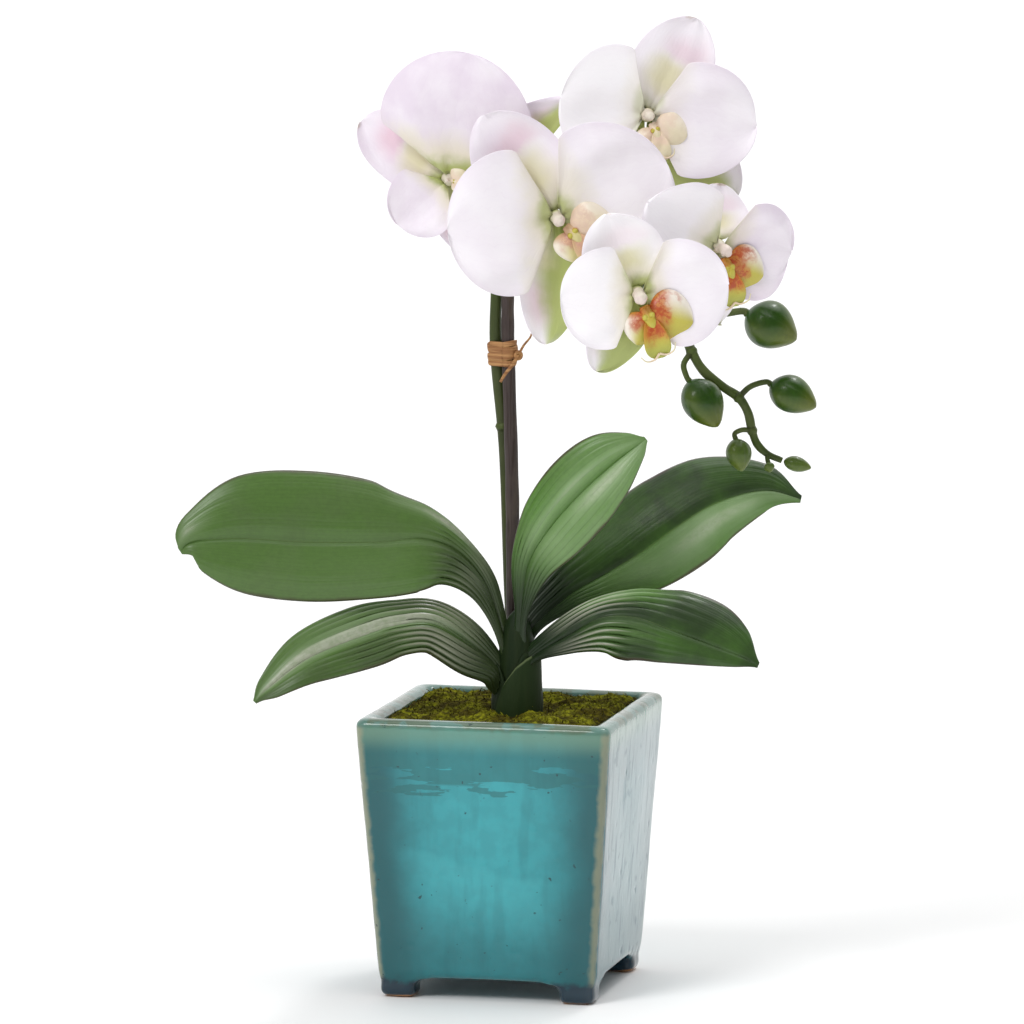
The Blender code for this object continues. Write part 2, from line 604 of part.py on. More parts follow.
def build_lip(key, spec):
    """Hollow-backed lip: a body, two side lobes, a middle lobe and two tendrils in one piece."""
    out = face_axes(spec)[2]
    down, across = in_face(spec, spec["down"])
    k = spec["size"]
    throat = Vector(spec["at"]) + (out * THROAT[0] + down * THROAT[1]) * k
    path = [throat + (out * o + down * d) * k for o, d, r in LIP_RINGS]
    radii = [r * k for o, d, r in LIP_RINGS]
    body = tube("flower_%s_lip" % key, path, lambda t: radii[round(t * (len(radii) - 1))], 8, "lip")
    parts = []
    for turn, (o, d), length, width, lean, bend, cup, point in LOBES:
        start = throat + (out * o + down * d) * k
        angle = spec["down"] + turn
        parts.append(lobe(spec, start, angle, length * k, width * k, lean, bend, cup * k, point))
    for side in (-1, 1):
        hook = curve_points([throat + (out * o + down * d + across * side * w) * k for o, d, w in TENDRIL], 5)
        parts.append(tube("tendril", hook, lambda t: 0.9 - 0.45 * t, 5))
    return combine(body, parts, "UNION")


def build_flowers():
    for key, spec in FLOWERS.items():
        for part in ("dorsal", "sepal_l", "sepal_r"):
            skin("flower_%s_%s" % (key, part), tepal_grid(spec, part, 7, 4), TEPAL_T, "sepal")
        for part in ("petal_l", "petal_r"):
            skin("flower_%s_%s" % (key, part), tepal_grid(spec, part, 9, 6), TEPAL_T, "petal")
        build_column(key, spec)
        build_lip(key, spec)


def bud_radius(r, s):
    return max(r * max(math.sin(math.pi * s ** 0.86), 0.0) ** 0.62, 0.09 * r)


def build_buds():
    for name, start, tip, r, root, bend, width in BUDS:
        a, b = Vector(start), Vector(tip)
        rings = 9 if r > 5 else 6
        places = [0.5 - 0.5 * math.cos(math.pi * i / rings) for i in range(rings + 1)]
        path = [a + (b - a) * s for s in places]
        tube("bud_%s" % name, path, lambda t, q=places, m=rings, big=r: bud_radius(big, q[round(t * m)]),
             BUD_SIDES, "bud")


def leaf_grid(spec, nu, nv):
    mid = curve_points(spec["mid"], nu + 1)
    grid = []
    for i, p in enumerate(mid):
        s = i / nu
        t = (mid[min(i + 1, nu)] - mid[max(i - 1, 0)]).normalized()
        away = Vector((0.0, 1.0, 0.0))
        away = (away - t * away.dot(t)).normalized()
        rise = t.cross(away)
        if rise.z < 0:
            rise = -rise
        line = []
        for j in range(nv + 1):
            v = 2 * j / nv - 1
            half = max(along(spec["up" if v > 0 else "low"], s), 1.0)
            tilt = math.radians(along(spec["up_tilt" if v > 0 else "low_tilt"], s))
            d = away * math.cos(tilt) + rise * math.sin(tilt)
            normal = rise * math.cos(tilt) - away * math.sin(tilt)
            line.append(p + d * half * v + normal * half * LEAF_DOME * (abs(v) - v * v))
        grid.append(line)
    return grid


def build_leaves():
    for name, spec in LEAVES.items():
        skin(name, leaf_grid(spec, 14, 8), LEAF_T, "leaf")


def tie_ring(z, grow, sides=8):
    """Loop round stake and spike together at one height."""
    stake_point = Vector(STAKE_PATH[TIE_PLACE])
    spike_point = Vector(SPIKE_PATH[TIE_PLACE])
    base = math.atan2(spike_point.y - stake_point.y, spike_point.x - stake_point.x)
    pts = []
    for centre, radius, start in ((stake_point, STAKE_R * 1.05, base + math.pi / 2),
                                  (spike_point, SPIKE_R_AT_TIE, base - math.pi / 2)):
        for k in range(sides):
            a = start + math.pi * k / (sides - 1)
            r = radius + grow
            pts.append((centre.x + r * math.cos(a), centre.y + r * math.sin(a), z))
    return pts


def build_tie():
    """Raffia band round stake and spike, a knot on its right and two loose ends."""
    z0, z1 = TIE_Z
    loops = [tie_ring(z0, TIE_CLEAR), tie_ring(z0 + 0.6, TIE_CLEAR + TIE_T),
             tie_ring((z0 + z1) / 2, TIE_CLEAR + TIE_T + 0.3), tie_ring(z1 - 0.6, TIE_CLEAR + TIE_T),
             tie_ring(z1, TIE_CLEAR)]
    n = len(loops[0])
    faces = []
    for i in range(len(loops)):
        m = (i + 1) % len(loops)
        for k in range(n):
            j = (k + 1) % n
            faces.append((i * n + k, i * n + j, m * n + j, m * n + k))
    tie = make("raffia_tie", [p for loop in loops for p in loop], faces, "tie")
    parts = [tube("knot", [KNOT_AT + Vector((0, 0, z)) for z in (-2.4, -1.2, 0.6, 2.0)],
                  lambda t: (1.0, 2.0, 1.9, 0.9)[round(t * 3)], 8)]
    for end in KNOT_ENDS:
        path = curve_points([KNOT_AT + Vector(p) for p in end], 7)
        parts.append(tube("end", path, lambda t: 0.95 - 0.35 * t, 6))
    return combine(tie, parts, "UNION")


def stand_on_origin():
    """Move every piece so that the whole stands on z = 0 with its box centred on the origin."""
    pieces = [obj for obj in bpy.data.objects if obj.type == "MESH"]
    points = [v.co for obj in pieces for v in obj.data.vertices]
    low = [min(p[i] for p in points) for i in range(3)]
    high = [max(p[i] for p in points) for i in range(3)]
    shift = Matrix.Translation((-(low[0] + high[0]) / 2, -(low[1] + high[1]) / 2, -low[2]))
    for obj in pieces:
        obj.data.transform(shift)


def main():
    for obj in list(bpy.data.objects):
        bpy.data.objects.remove(obj)
    build_pot()
    filling = (build_medium(), build_moss())
    stack("crown", crown_loops(0.0), "crown", plant=True)
    tube("stake", curve_points(STAKE_PATH, 12), stake_radius, 10, "stake")
    build_spike()
    drill_filling(filling)
    build_leaves()
    build_tie()
    build_flowers()
    build_buds()
    stand_on_origin()


main()
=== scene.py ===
"""Potted orchid: finished look of the pot, moss, leaves, spike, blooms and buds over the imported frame."""
import math

import bmesh
import bpy
from bpy.props import FloatProperty, FloatVectorProperty, PointerProperty
from bpy.types import Operator, Panel, PropertyGroup
from mathutils import Matrix, Vector, noise


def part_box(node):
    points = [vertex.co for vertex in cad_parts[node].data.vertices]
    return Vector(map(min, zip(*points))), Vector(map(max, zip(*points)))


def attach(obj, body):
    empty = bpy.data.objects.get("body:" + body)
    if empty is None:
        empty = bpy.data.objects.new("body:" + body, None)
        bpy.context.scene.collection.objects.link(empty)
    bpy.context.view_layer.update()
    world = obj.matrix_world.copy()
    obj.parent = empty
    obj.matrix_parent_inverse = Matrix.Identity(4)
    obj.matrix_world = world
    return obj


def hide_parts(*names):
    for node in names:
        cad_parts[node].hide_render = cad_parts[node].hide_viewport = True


bl_info = {
    "name": "Potted Orchid",
    "version": (1, 0, 0),
    "blender": (4, 5, 0),
    "location": "3D View > Sidebar > Orchid",
    "description": "Builds a moth orchid in a square glazed pot over its packed frame",
    "category": "Object",
}

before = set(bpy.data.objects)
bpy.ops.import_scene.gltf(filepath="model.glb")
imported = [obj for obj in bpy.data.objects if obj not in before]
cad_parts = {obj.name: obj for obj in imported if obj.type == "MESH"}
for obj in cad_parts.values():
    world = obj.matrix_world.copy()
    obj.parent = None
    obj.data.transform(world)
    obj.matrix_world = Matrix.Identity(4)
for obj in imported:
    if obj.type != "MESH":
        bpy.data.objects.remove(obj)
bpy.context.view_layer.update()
POT_LOW, POT_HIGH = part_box("pot")

MM = 0.001
PLANT_TURN = math.radians(13.3)
PLANT_LIFT = 1.7
POT_CENTRE = Vector(((POT_LOW.x + POT_HIGH.x) / 2, (POT_LOW.y + POT_HIGH.y) / 2, 0.0))

# pot, all sizes in millimetres
POT_H = (POT_HIGH.z - POT_LOW.z) / MM
POT_TOP = 63.8
POT_BOTTOM = 54.6
POT_CORNER = 5.0
POT_WALL = 10.5
POT_FLOOR = 9.0
RIM_ROUND = 4.2
FOOT_H = 10.0
FOOT_TOP = 25.0
FOOT_TOE = 16.5
# foot, from the sole up: height, width, how far it stands in from the pot's side
FOOT_RINGS = ((0.0, FOOT_TOE - 3.0, 3.4), (0.7, FOOT_TOE - 0.4, 2.0), (2.6, FOOT_TOE + 1.0, 0.9),
              (5.4, FOOT_TOE + 0.8, 0.9), (7.6, FOOT_TOE + 1.6, 1.2), (8.9, FOOT_TOE + 4.5, 0.8),
              (FOOT_H + 0.4, FOOT_TOP + 3.0, 0.4), (FOOT_H + 4.0, FOOT_TOP + 3.0, 0.4))
MOSS_TOP = 136.4
# heights between which each change of the glaze, and the painted reflection, runs from none to full
LOW_POOL = (62.0, 18.0)
BAND_FOOT = (108.5, 110.0)
BAND_HEAD = (136.0, 122.0)
REFLECTION_FOOT = (30.0, 62.0)
REFLECTION_HEAD = (71.0, 66.0)
PALE_ZONE = (121.0, 133.0)
RIM_ZONE = (POT_H - 4.2, POT_H - 1.2)
FOOT_ZONE = (13.0, 8.0)
SOLE_ZONE = (2.6, 1.4)
# grain that the pot is joined at, squares along the moss bed's side, shoots strewn over it and
# the seed that they are bent by
CLAY_GRAIN = 1.25
MOSS_CELLS = 150
MOSS_SPRIGS = 900
SPRIG_SEED = 5

# crown, stake and spike, in millimetres from the pot's centre; crown rings are (height, radius)
CROWN_AT = (3.0, -13.0)
CROWN_FLAT = 0.8
STAKE_AT_MOSS = (1.7, 3.6)
SPIKE_AT_MOSS = (1.3, 13.0)
CROWN_RINGS = ((124.0, 9.5), (132.0, 10.6), (138.0, 11.0), (148.0, 10.2), (158.0, 9.6), (168.0, 8.8),
               (176.0, 7.0), (182.0, 4.4), (185.0, 1.8))
# leaf bases wrapped round the crown: angle of the middle, height
SHEATHS = ((200.0, 34.0), (250.0, 26.0), (300.0, 40.0), (20.0, 30.0))
SHEATH_FOOT = 126.0
# front sheath: angle round the crown, height of its slanting upper edge
SHEATH_EDGE = ((200.0, 134.0), (218.0, 143.0), (240.0, 151.0), (267.0, 158.5), (292.0, 162.5),
               (318.0, 165.0), (350.0, 165.5))
# stake and spike, from the foot up; the spike's radius goes with the place along it
STAKE_R = 3.3
STAKE_PATH = ((2.0, 4.0, 60.0), (1.6, 3.5, 140.0), (1.0, 3.0, 208.0), (0.4, 2.0, 250.0), (-1.4, 1.0, 313.0),
              (-1.6, 0.4, 342.0))
SPIKE_PATH = ((2.0, 14.0, 104.0), (1.0, 12.5, 150.0), (-0.5, 9.6, 195.0), (-3.2, 8.6, 262.0),
              (-7.4, 5.6, 313.0), (-7.0, 5.0, 341.0), (-5.0, 9.0, 367.0), (3.5, 14.0, 389.0),
              (18.0, 17.0, 404.0), (38.0, 17.0, 410.0), (58.0, 14.0, 408.0), (74.0, 9.0, 396.0),
              (83.5, 2.0, 378.0), (87.5, -4.0, 358.0), (87.5, -10.0, 337.0), (86.0, -13.0, 319.5),
              (89.2, -15.0, 310.3), (94.5, -16.0, 302.5), (103.6, -17.0, 295.3), (110.8, -18.0, 290.5),
              (115.3, -18.0, 283.2), (117.4, -18.0, 274.3), (120.0, -18.0, 267.5), (125.2, -18.0, 262.6),
              (132.0, -18.0, 259.6))
SPIKE_R = ((0.0, 3.1), (0.42, 2.9), (0.6, 2.4), (0.75, 2.3), (0.86, 2.2), (0.95, 1.8), (1.0, 1.4))
SPIKE_JOINTS = (3.2, 9.5, 12.2, 15.7, 19.0, 21.0)

# buds: stalk end, tip, greatest radius, stalk root as a place on the spike path, bend, stalk radius
BUDS = (
    ("large", (114.6, -14.0, 331.2), (138.2, -18.0, 319.1), 11.6, 13.9, (98.0, -12.0, 331.0), 1.9),
    ("hanging", (86.6, -22.0, 299.2), (100.2, -26.0, 277.6), 9.9, 15.7, (84.0, -20.0, 307.0), 1.5),
    ("outer", (126.2, -18.0, 297.0), (147.9, -22.0, 286.5), 9.0, 19.0, (116.5, -18.0, 295.8), 1.5),
    ("small", (109.3, -22.5, 270.8), (112.2, -26.0, 255.6), 6.2, 21.0, (112.5, -21.5, 275.0), 1.3),
    ("tiny", (125.2, -20.5, 259.0), (126.2, -22.4, 254.4), 2.6, 23.0, (125.2, -19.0, 261.6), 1.2),
    ("tip", (132.9, -18.0, 259.3), (146.0, -18.5, 256.0), 3.7, None, None, 0.0),
)
# raffia strips: height, distance out from the cane and spike, half width
TIE_STRIPS = ((306.2, 0.5, 1.7), (308.6, 0.8, 1.9), (311.0, 0.45, 1.6), (312.6, 0.9, 1.9),
              (314.6, 0.55, 1.4))

KNOT_AT = (3.6, -2.8, 309.5)
# loose ends of the raffia: steps from the knot, radius at the knot, taper
TIE_ENDS = ((((2.6, -1.0, 5.0), (5.8, -0.6, 9.0), (7.0, 0.0, 13.5)), 0.7, 0.3),
            (((-2.6, -3.0, -4.0), (-6.4, -4.6, -8.6), (-8.8, -4.8, -12.6)), 1.05, 0.35))

# how finely leaves, tepals and lip lobes are divided along and across
LEAF_ROWS, LEAF_LANES = 96, 56
TEPAL_ROWS, TEPAL_LANES = 52, 36
SIDE_LOBE_ROWS, SIDE_LOBE_LANES = 28, 24
MIDDLE_LOBE_ROWS, MIDDLE_LOBE_LANES = 26, 16

# leaves, from the foot in the crown to the tip: midrib points, then for each of them the half width and
# the tilt above level of the upper and the lower side; fold height and reach, painted shade of each side,
# and patches of painted shade and painted highlight (place along, place across, reach along, reach across,
# strength; below 0 is a paler painted highlight)
LEAVES = {
    "leaf_left_upper": dict(
        mid=((1.5, -12.0, 140.0), (0.0, -13.0, 160.0), (-5.4, -13.5, 176.5), (-13.0, -14.5, 199.0),
             (-26.0, -18.0, 215.0), (-43.0, -22.0, 221.5), (-65.0, -26.0, 220.5), (-99.0, -30.0, 221.0),
             (-132.0, -32.0, 223.0), (-154.0, -33.0, 221.5), (-161.0, -33.0, 217.0)),
        up=(5.0, 4.5, 4.5, 6.5, 8.5, 17.5, 30.0, 35.0, 31.0, 15.0, 2.0),
        low=(5.0, 4.5, 6.0, 11.5, 20.0, 26.0, 27.5, 29.0, 26.0, 14.0, 2.0),
        up_tilt=(60.0, 60.0, 60.0, 62.0, 66.0, 70.0, 74.0, 76.0, 76.0, 72.0, 70.0),
        low_tilt=(90.0, 70.0, 30.0, 52.0, 62.0, 72.0, 78.0, 80.0, 80.0, 78.0, 70.0),
        fold=(1.3, 0.54), painted_light_and_shade=(0.0, 0.0),
        patches=((0.91, 0.45, 0.05, 0.26, -1.5), (0.62, -0.45, 0.12, 0.35, -0.25),
                 (0.8, 0.25, 0.14, 0.3, 0.18), (0.43, 0.8, 0.1, 0.16, -2.3), (0.4, -0.3, 0.09, 0.6, 0.6))),
    "leaf_left_lower": dict(
        mid=((0.5, -14.0, 124.0), (-1.5, -14.5, 142.0), (-7.2, -15.5, 156.5), (-20.0, -20.0, 168.5),
             (-37.5, -26.0, 180.0), (-54.0, -32.0, 180.5), (-71.0, -36.0, 176.0), (-98.5, -42.0, 165.5),
             (-117.0, -46.0, 152.0), (-124.5, -48.0, 145.0)),
        up=(5.5, 5.0, 6.5, 12.5, 16.0, 18.5, 20.0, 17.0, 9.0, 1.5),
        low=(7.0, 5.5, 13.0, 16.0, 15.5, 15.5, 17.0, 14.0, 8.0, 1.5),
        up_tilt=(60.0, 60.0, 50.0, 46.0, 36.0, 36.0, 42.0, 44.0, 44.0, 44.0),
        low_tilt=(100.0, 80.0, 30.0, 50.0, 62.0, 62.0, 62.0, 60.0, 50.0, 44.0),
        fold=(1.25, 0.86), painted_light_and_shade=(0.15, 0.5),
        patches=((0.6, 0.14, 0.24, 0.22, -2.8), (0.54, 0.75, 0.16, 0.25, -1.3),
                 (0.86, -0.02, 0.12, 0.24, -2.2), (0.42, -0.55, 0.14, 0.4, 0.35))),
    "leaf_centre": dict(
        mid=((3.5, -15.0, 140.0), (4.0, -16.5, 162.0), (5.0, -19.2, 182.5), (8.5, -26.0, 209.0),
             (19.0, -32.0, 228.0), (34.0, -36.0, 245.5), (49.0, -38.0, 259.5), (60.5, -38.5, 268.5),
             (65.5, -38.5, 272.5)),
        up=(4.5, 4.5, 3.2, 9.2, 16.5, 20.0, 18.0, 9.0, 1.5),
        low=(4.5, 4.5, 3.4, 12.5, 18.5, 19.5, 14.5, 6.5, 1.2),
        up_tilt=(60.0, 60.0, 70.0, 76.0, 80.0, 80.0, 80.0, 80.0, 80.0),
        low_tilt=(90.0, 70.0, 60.0, 66.0, 70.0, 70.0, 74.0, 76.0, 78.0),
        fold=(0.24, 1.1), painted_light_and_shade=(-0.3, -0.5),
        patches=((0.7, -0.28, 0.16, 0.22, -0.95), (0.62, 0.3, 0.22, 0.1, -0.9),
                 (0.52, 0.8, 0.2, 0.22, 0.45), (0.8, 0.06, 0.2, 0.08, 0.35),
                 (0.34, -0.2, 0.08, 0.8, 0.35))),
    "leaf_right_upper": dict(
        mid=((4.5, -12.0, 136.0), (5.5, -11.5, 156.0), (10.0, -10.0, 174.0), (27.5, -6.0, 190.5),
             (46.0, -1.0, 201.0), (63.0, 2.0, 211.0), (82.0, 6.0, 224.0), (101.0, 10.0, 235.0),
             (124.0, 12.0, 241.0), (142.5, 12.0, 236.8)),
        up=(5.0, 4.5, 12.5, 18.0, 25.5, 31.0, 33.0, 29.0, 16.0, 2.0),
        low=(5.0, 4.5, 3.5, 8.0, 14.0, 21.0, 23.0, 19.0, 11.0, 2.0),
        up_tilt=(60.0, 60.0, 60.0, 66.0, 58.0, 54.0, 52.0, 52.0, 54.0, 56.0),
        low_tilt=(90.0, 70.0, 50.0, 60.0, 66.0, 70.0, 72.0, 70.0, 66.0, 60.0),
        fold=(0.7, 0.5), painted_light_and_shade=(0.93, -0.15),
        patches=((0.74, -0.42, 0.22, 0.32, -1.25), (0.92, 0.35, 0.06, 0.35, -0.35),
                 (0.45, -0.5, 0.1, 0.4, 0.2))),
    "leaf_right_lower": dict(
        mid=((3.0, -15.5, 136.0), (4.5, -17.0, 150.0), (9.5, -19.5, 161.5), (25.0, -26.0, 172.5),
             (43.0, -31.0, 183.5), (60.0, -34.0, 184.5), (76.0, -37.0, 179.5), (96.0, -39.0, 172.0),
             (110.0, -40.0, 166.5), (120.3, -40.5, 162.0)),
        up=(6.0, 5.5, 6.0, 11.0, 13.5, 19.0, 24.0, 23.0, 15.0, 1.5),
        low=(5.5, 5.0, 3.0, 8.0, 18.5, 21.5, 17.5, 11.0, 6.0, 1.5),
        up_tilt=(60.0, 60.0, 60.0, 50.0, 40.0, 44.0, 52.0, 56.0, 58.0, 60.0),
        low_tilt=(90.0, 70.0, 40.0, 60.0, 70.0, 76.0, 78.0, 76.0, 72.0, 66.0),
        fold=(1.0, 0.8), painted_light_and_shade=(0.9, 0.84),
        patches=((0.55, -0.35, 0.14, 0.25, -0.45), (0.5, 0.8, 0.1, 0.25, -2.0),
                 (0.85, 0.1, 0.12, 0.5, -0.15))),
}

# blooms: centre, facing (turned right, raised), way the lip hangs, lilac tint, partly painted shade (and of
# single parts), strength of lime and blush, size of the lip, paleness of its right and left lobe, then
# every tepal as (angle round the face, length, width, lean forward, bend forward, edge cup); angles in
# degrees
FLOWERS = {
    "a": dict(at=(-30.6, -2.0, 395.8), face=(-14.0, -4.0), down=350.0, tint=0.85, tints=dict(petal_r=1.0),
              lime=0.9, blush=0.9, size=0.34, pale=(1.0, 1.0),
              dorsal=(151.0, 54.0, 36.0, -12.0, 4.0, 2.0),
              sepal_l=(282.0, 40.0, 26.0, -8.0, 0.0, 3.0),
              sepal_r=(33.0, 71.0, 24.0, -4.0, 0.0, 3.0),
              petal_l=(222.0, 34.0, 36.0, 0.0, 6.0, 4.0),
              petal_r=(79.0, 65.0, 76.0, 18.0, -26.0, -5.0)),
    "b": dict(at=(22.3, -38.0, 380.2), face=(4.0, -4.0), down=317.0, tint=0.5,
              tints=dict(petal_l=0.45, dorsal=0.7), lime=0.75, blush=0.7, size=0.9, pale=(0.85, 0.45),
              dorsal=(126.0, 61.0, 44.0, -6.0, 6.0, 1.5),
              sepal_l=(266.0, 64.0, 31.0, -6.0, 2.0, 3.0),
              sepal_r=(344.0, 48.0, 28.0, -8.0, 0.0, 3.0),
              petal_l=(185.0, 54.5, 71.0, 20.0, -26.0, -3.0),
              petal_r=(27.0, 59.5, 74.0, 14.0, -16.0, 5.0)),
    "d": dict(at=(66.3, -12.0, 427.7), face=(8.0, 2.0), down=292.0, tint=0.4,
              tints=dict(petal_l=0.0, petal_r=0.55), lime=0.4, blush=0.6, size=0.7, pale=(1.0, 0.9),
              dorsal=(62.0, 53.0, 40.0, -4.0, 12.0, 4.0),
              sepal_l=(212.0, 44.0, 27.0, 0.0, 4.0, 3.0),
              sepal_r=(318.0, 60.0, 36.0, -2.0, 4.0, 3.0),
              petal_l=(168.0, 45.0, 62.0, 8.0, -2.0, 5.0),
              petal_r=(-6.0, 53.5, 56.0, 16.0, -24.0, 5.0)),
    "e": dict(at=(99.8, -54.0, 367.8), face=(26.0, -10.0), down=288.0, tint=0.5,
              tints=dict(petal_l=0.25, petal_r=1.0), lime=0.6, blush=0.4, size=0.88, pale=(0.0, 0.0),
              dorsal=(80.0, 30.0, 30.0, -22.0, 0.0, 3.0),
              sepal_l=(212.0, 34.0, 20.0, -2.0, 0.0, 3.0),
              sepal_r=(282.0, 42.0, 22.0, -6.0, 0.0, 3.0),
              petal_l=(150.0, 53.0, 45.0, 8.0, 4.0, 5.0),
              petal_r=(-5.0, 38.5, 48.0, 14.0, -22.0, 5.0)),
    "f": dict(at=(60.8, -86.0, 347.9), face=(6.0, -6.0), down=294.0, tint=0.3,
              tints=dict(petal_l=0.1, petal_r=0.45, dorsal=0.1), lime=0.8, blush=0.3, size=0.95,
              pale=(0.0, 0.0),
              dorsal=(112.0, 42.0, 40.0, -4.0, 14.0, 4.0),
              sepal_l=(243.0, 43.0, 27.0, -2.0, 4.0, 3.0),
              sepal_r=(318.0, 34.0, 22.0, -8.0, 0.0, 3.0),
              petal_l=(182.0, 38.5, 50.0, 18.0, -24.0, 4.0),
              petal_r=(6.0, 43.5, 52.0, 14.0, -22.0, 4.0)),
}
SEPAL_BACK = -3.2
PETAL_FRONT = 1.4
TEPAL_START = 5.0
COLUMN_SCALE = 0.84
TEPALS = ("dorsal", "sepal_l", "sepal_r", "petal_l", "petal_r")
# stalks of the blooms: root as a place on the spike path, and a point that the stalk bends through
PEDICELS = {
    "a": (6.4, (-14.0, 10.0, 388.0)),
    "b": (7.3, (16.0, 0.0, 390.0)),
    "d": (9.5, (60.0, 8.0, 424.0)),
    "e": (12.1, (90.0, -20.0, 374.0)),
    "f": (13.2, (74.0, -40.0, 356.0)),
}


# ---------------------------------------------------------------- settings

def colour(label, text, value):
    """Colour property with its first value."""
    return FloatVectorProperty(name=label, description=text, default=value, subtype="COLOR",
                               size=3, min=0.0, max=1.0)


def measure(label, text, value):
    """Length property; its first value is given in millimetres."""
    return FloatProperty(name=label, description=text, default=value * MM, unit="LENGTH",
                         min=0.0, precision=5)


class ORCHID_PG_sizes(PropertyGroup):
    petal_thickness: measure("Petal thickness", "Thickness of petals and sepals at their middle", 0.9)
    petal_ripple: measure("Petal ripple", "Height of the waves along the petals' edges", 2.0)
    leaf_thickness: measure("Leaf thickness", "Thickness of a leaf at its midrib", 2.0)
    leaf_fold: measure("Leaf folds", "Height of the folds that run along a leaf's base", 1.0)
    glaze_waviness: measure("Glaze waviness", "How far the thrown walls stray from flat", 0.35)
    moss_relief: measure("Moss relief", "Height of the moss cushions", 2.6)


class ORCHID_PG_colours(PropertyGroup):
    petal_white: colour("Petal white", "Open part of petals and sepals", (0.985, 0.965, 0.99))
    petal_lilac: colour("Petal lilac", "Shaded tint that petals take between veins", (0.79, 0.70, 0.80))
    petal_cream: colour("Petal cream", "Petals towards their base", (0.74, 0.68, 0.48))
    petal_lime: colour("Petal lime", "Base of petals and inner half of the lower sepals",
                       (0.34, 0.40, 0.08))
    blush: colour("Blush", "Pink blotch on the sepals", (0.72, 0.40, 0.50))
    lip_red: colour("Lip red", "Veins in the lip's throat", (0.42, 0.03, 0.005))
    lip_gold: colour("Lip gold", "Ground of the lip", (0.50, 0.22, 0.018))
    glaze: colour("Glaze", "Open glaze on the pot's faces", (0.032, 0.345, 0.385))
    glaze_deep: colour("Pooled glaze", "Glaze where it lies thick", (0.001, 0.092, 0.105))
    glaze_break: colour("Broken glaze", "Glaze thinned over edges", (0.26, 0.27, 0.17))
    leaf_green: colour("Leaf green", "Upper side of the leaves", (0.100, 0.225, 0.040))
    # painted highlight: the paler green laid where the leaves catch the light
    leaf_highlight_green: colour("Leaf pale green", "Bloomed upper side of the youngest leaf", (0.24, 0.36, 0.17))
    leaf_dark: colour("Leaf shadow green", "Leaf edges, folds and undersides", (0.008, 0.020, 0.005))
    stem_green: colour("Stem green", "Spike and stalks", (0.055, 0.085, 0.012))
    bud_green: colour("Bud green", "Buds", (0.018, 0.062, 0.003))
    cane: colour("Cane", "Stake", (0.032, 0.020, 0.017))
    raffia: colour("Raffia", "Tie", (0.46, 0.24, 0.09))
    moss_green: colour("Moss green", "Moss tips", (0.25, 0.25, 0.012))
    moss_brown: colour("Moss brown", "Gaps in the moss", (0.018, 0.013, 0.004))


def sizes():
    """Lengths set in the panel."""
    return bpy.context.scene.orchid_sizes


def tones():
    """Colours set in the panel."""
    return bpy.context.scene.orchid_colours


# ---------------------------------------------------------------- geometry

def plant_matrix():
    """Place of the plant: over the pot's centre, turned across its faces."""
    root = POT_CENTRE + Vector((0.0, 0.0, PLANT_LIFT * MM))
    return Matrix.Translation(root) @ Matrix.Rotation(PLANT_TURN, 4, "Z")


def turn_outward(mesh):
    """Turn every face of a closed mesh to look outward."""
    bm = bmesh.new()
    bm.from_mesh(mesh)
    bmesh.ops.recalc_face_normals(bm, faces=bm.faces)
    if bm.calc_volume(signed=True) < 0.0:
        bmesh.ops.reverse_faces(bm, faces=bm.faces)
    bm.to_mesh(mesh)
    bm.free()


def ring_faces(rings, sides, first=0):
    """Faces of a closed skin over a stack of rings, with both ends shut."""
    last = first + (rings - 1) * sides
    faces = [tuple(range(first, first + sides)), tuple(range(last, last + sides))]
    for near in range(first, last, sides):
        far = near + sides
        for k in range(sides):
            j = (k + 1) % sides
            faces.append((near + k, near + j, far + j, far + k))
    return faces


def lay_down(name, verts, faces, material, nodes, plant=True, fields=None):
    """Make a smooth object from millimetre points, finish it and tie it to the frame."""
    mesh = bpy.data.meshes.new(name)
    mesh.from_pydata([(p[0] * MM, p[1] * MM, p[2] * MM) for p in verts], [], faces)
    for key, values in (fields or {}).items():
        mesh.attributes.new(key, "FLOAT", "POINT").data.foreach_set("value", values)
    turn_outward(mesh)
    mesh.polygons.foreach_set("use_smooth", [True] * len(mesh.polygons))
    mesh.materials.append(material)
    piece = bpy.data.objects.new(name, mesh)
    bpy.context.scene.collection.objects.link(piece)
    piece.matrix_world = plant_matrix() if plant else Matrix.Translation(POT_CENTRE)
    bpy.context.view_layer.update()
    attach(piece, "root")
    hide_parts(*nodes)
    return piece


def spline(points, count):
    """Even-by-parameter Catmull-Rom samples through the control points."""
    pts = [Vector(p) for p in points]
    pts = [2 * pts[0] - pts[1]] + pts + [2 * pts[-1] - pts[-2]]
    spans = len(pts) - 3
    out = []
    for i in range(count):
        t = i / (count - 1) * spans
        k = min(int(t), spans - 1)
        f = t - k
        a, b, c, d = pts[k:k + 4]
        out.append(0.5 * (2 * b + (c - a) * f + (2 * a - 5 * b + 4 * c - d) * f * f
                          + (3 * b - a - 3 * c + d) * f * f * f))
    return out


def along(values, t):
    """Smooth value at t (0..1) from an evenly spaced list."""
    spans = len(values) - 1
    x = min(max(t, 0.0), 1.0) * spans
    k = min(int(x), spans - 1)
    f = x - k
    v = [values[max(k - 1, 0)], values[k], values[k + 1], values[min(k + 2, spans)]]
    return 0.5 * (2 * v[1] + (v[2] - v[0]) * f + (2 * v[0] - 5 * v[1] + 4 * v[2] - v[3]) * f * f
                  + (3 * v[1] - v[0] - 3 * v[2] + v[3]) * f * f * f)


def lerp_table(table, t):
    """Straight-line value at t from a table of (place, value) pairs."""
    for (t0, v0), (t1, v1) in zip(table, table[1:]):
        if t <= t1:
            return v0 + (v1 - v0) * (t - t0) / (t1 - t0)
    return table[-1][1]


def smooth_step(x, low, high):
    """Smooth change from 0 at low to 1 at high."""
    t = min(max((x - low) / (high - low), 0.0), 1.0)
    return t * t * (3 - 2 * t)


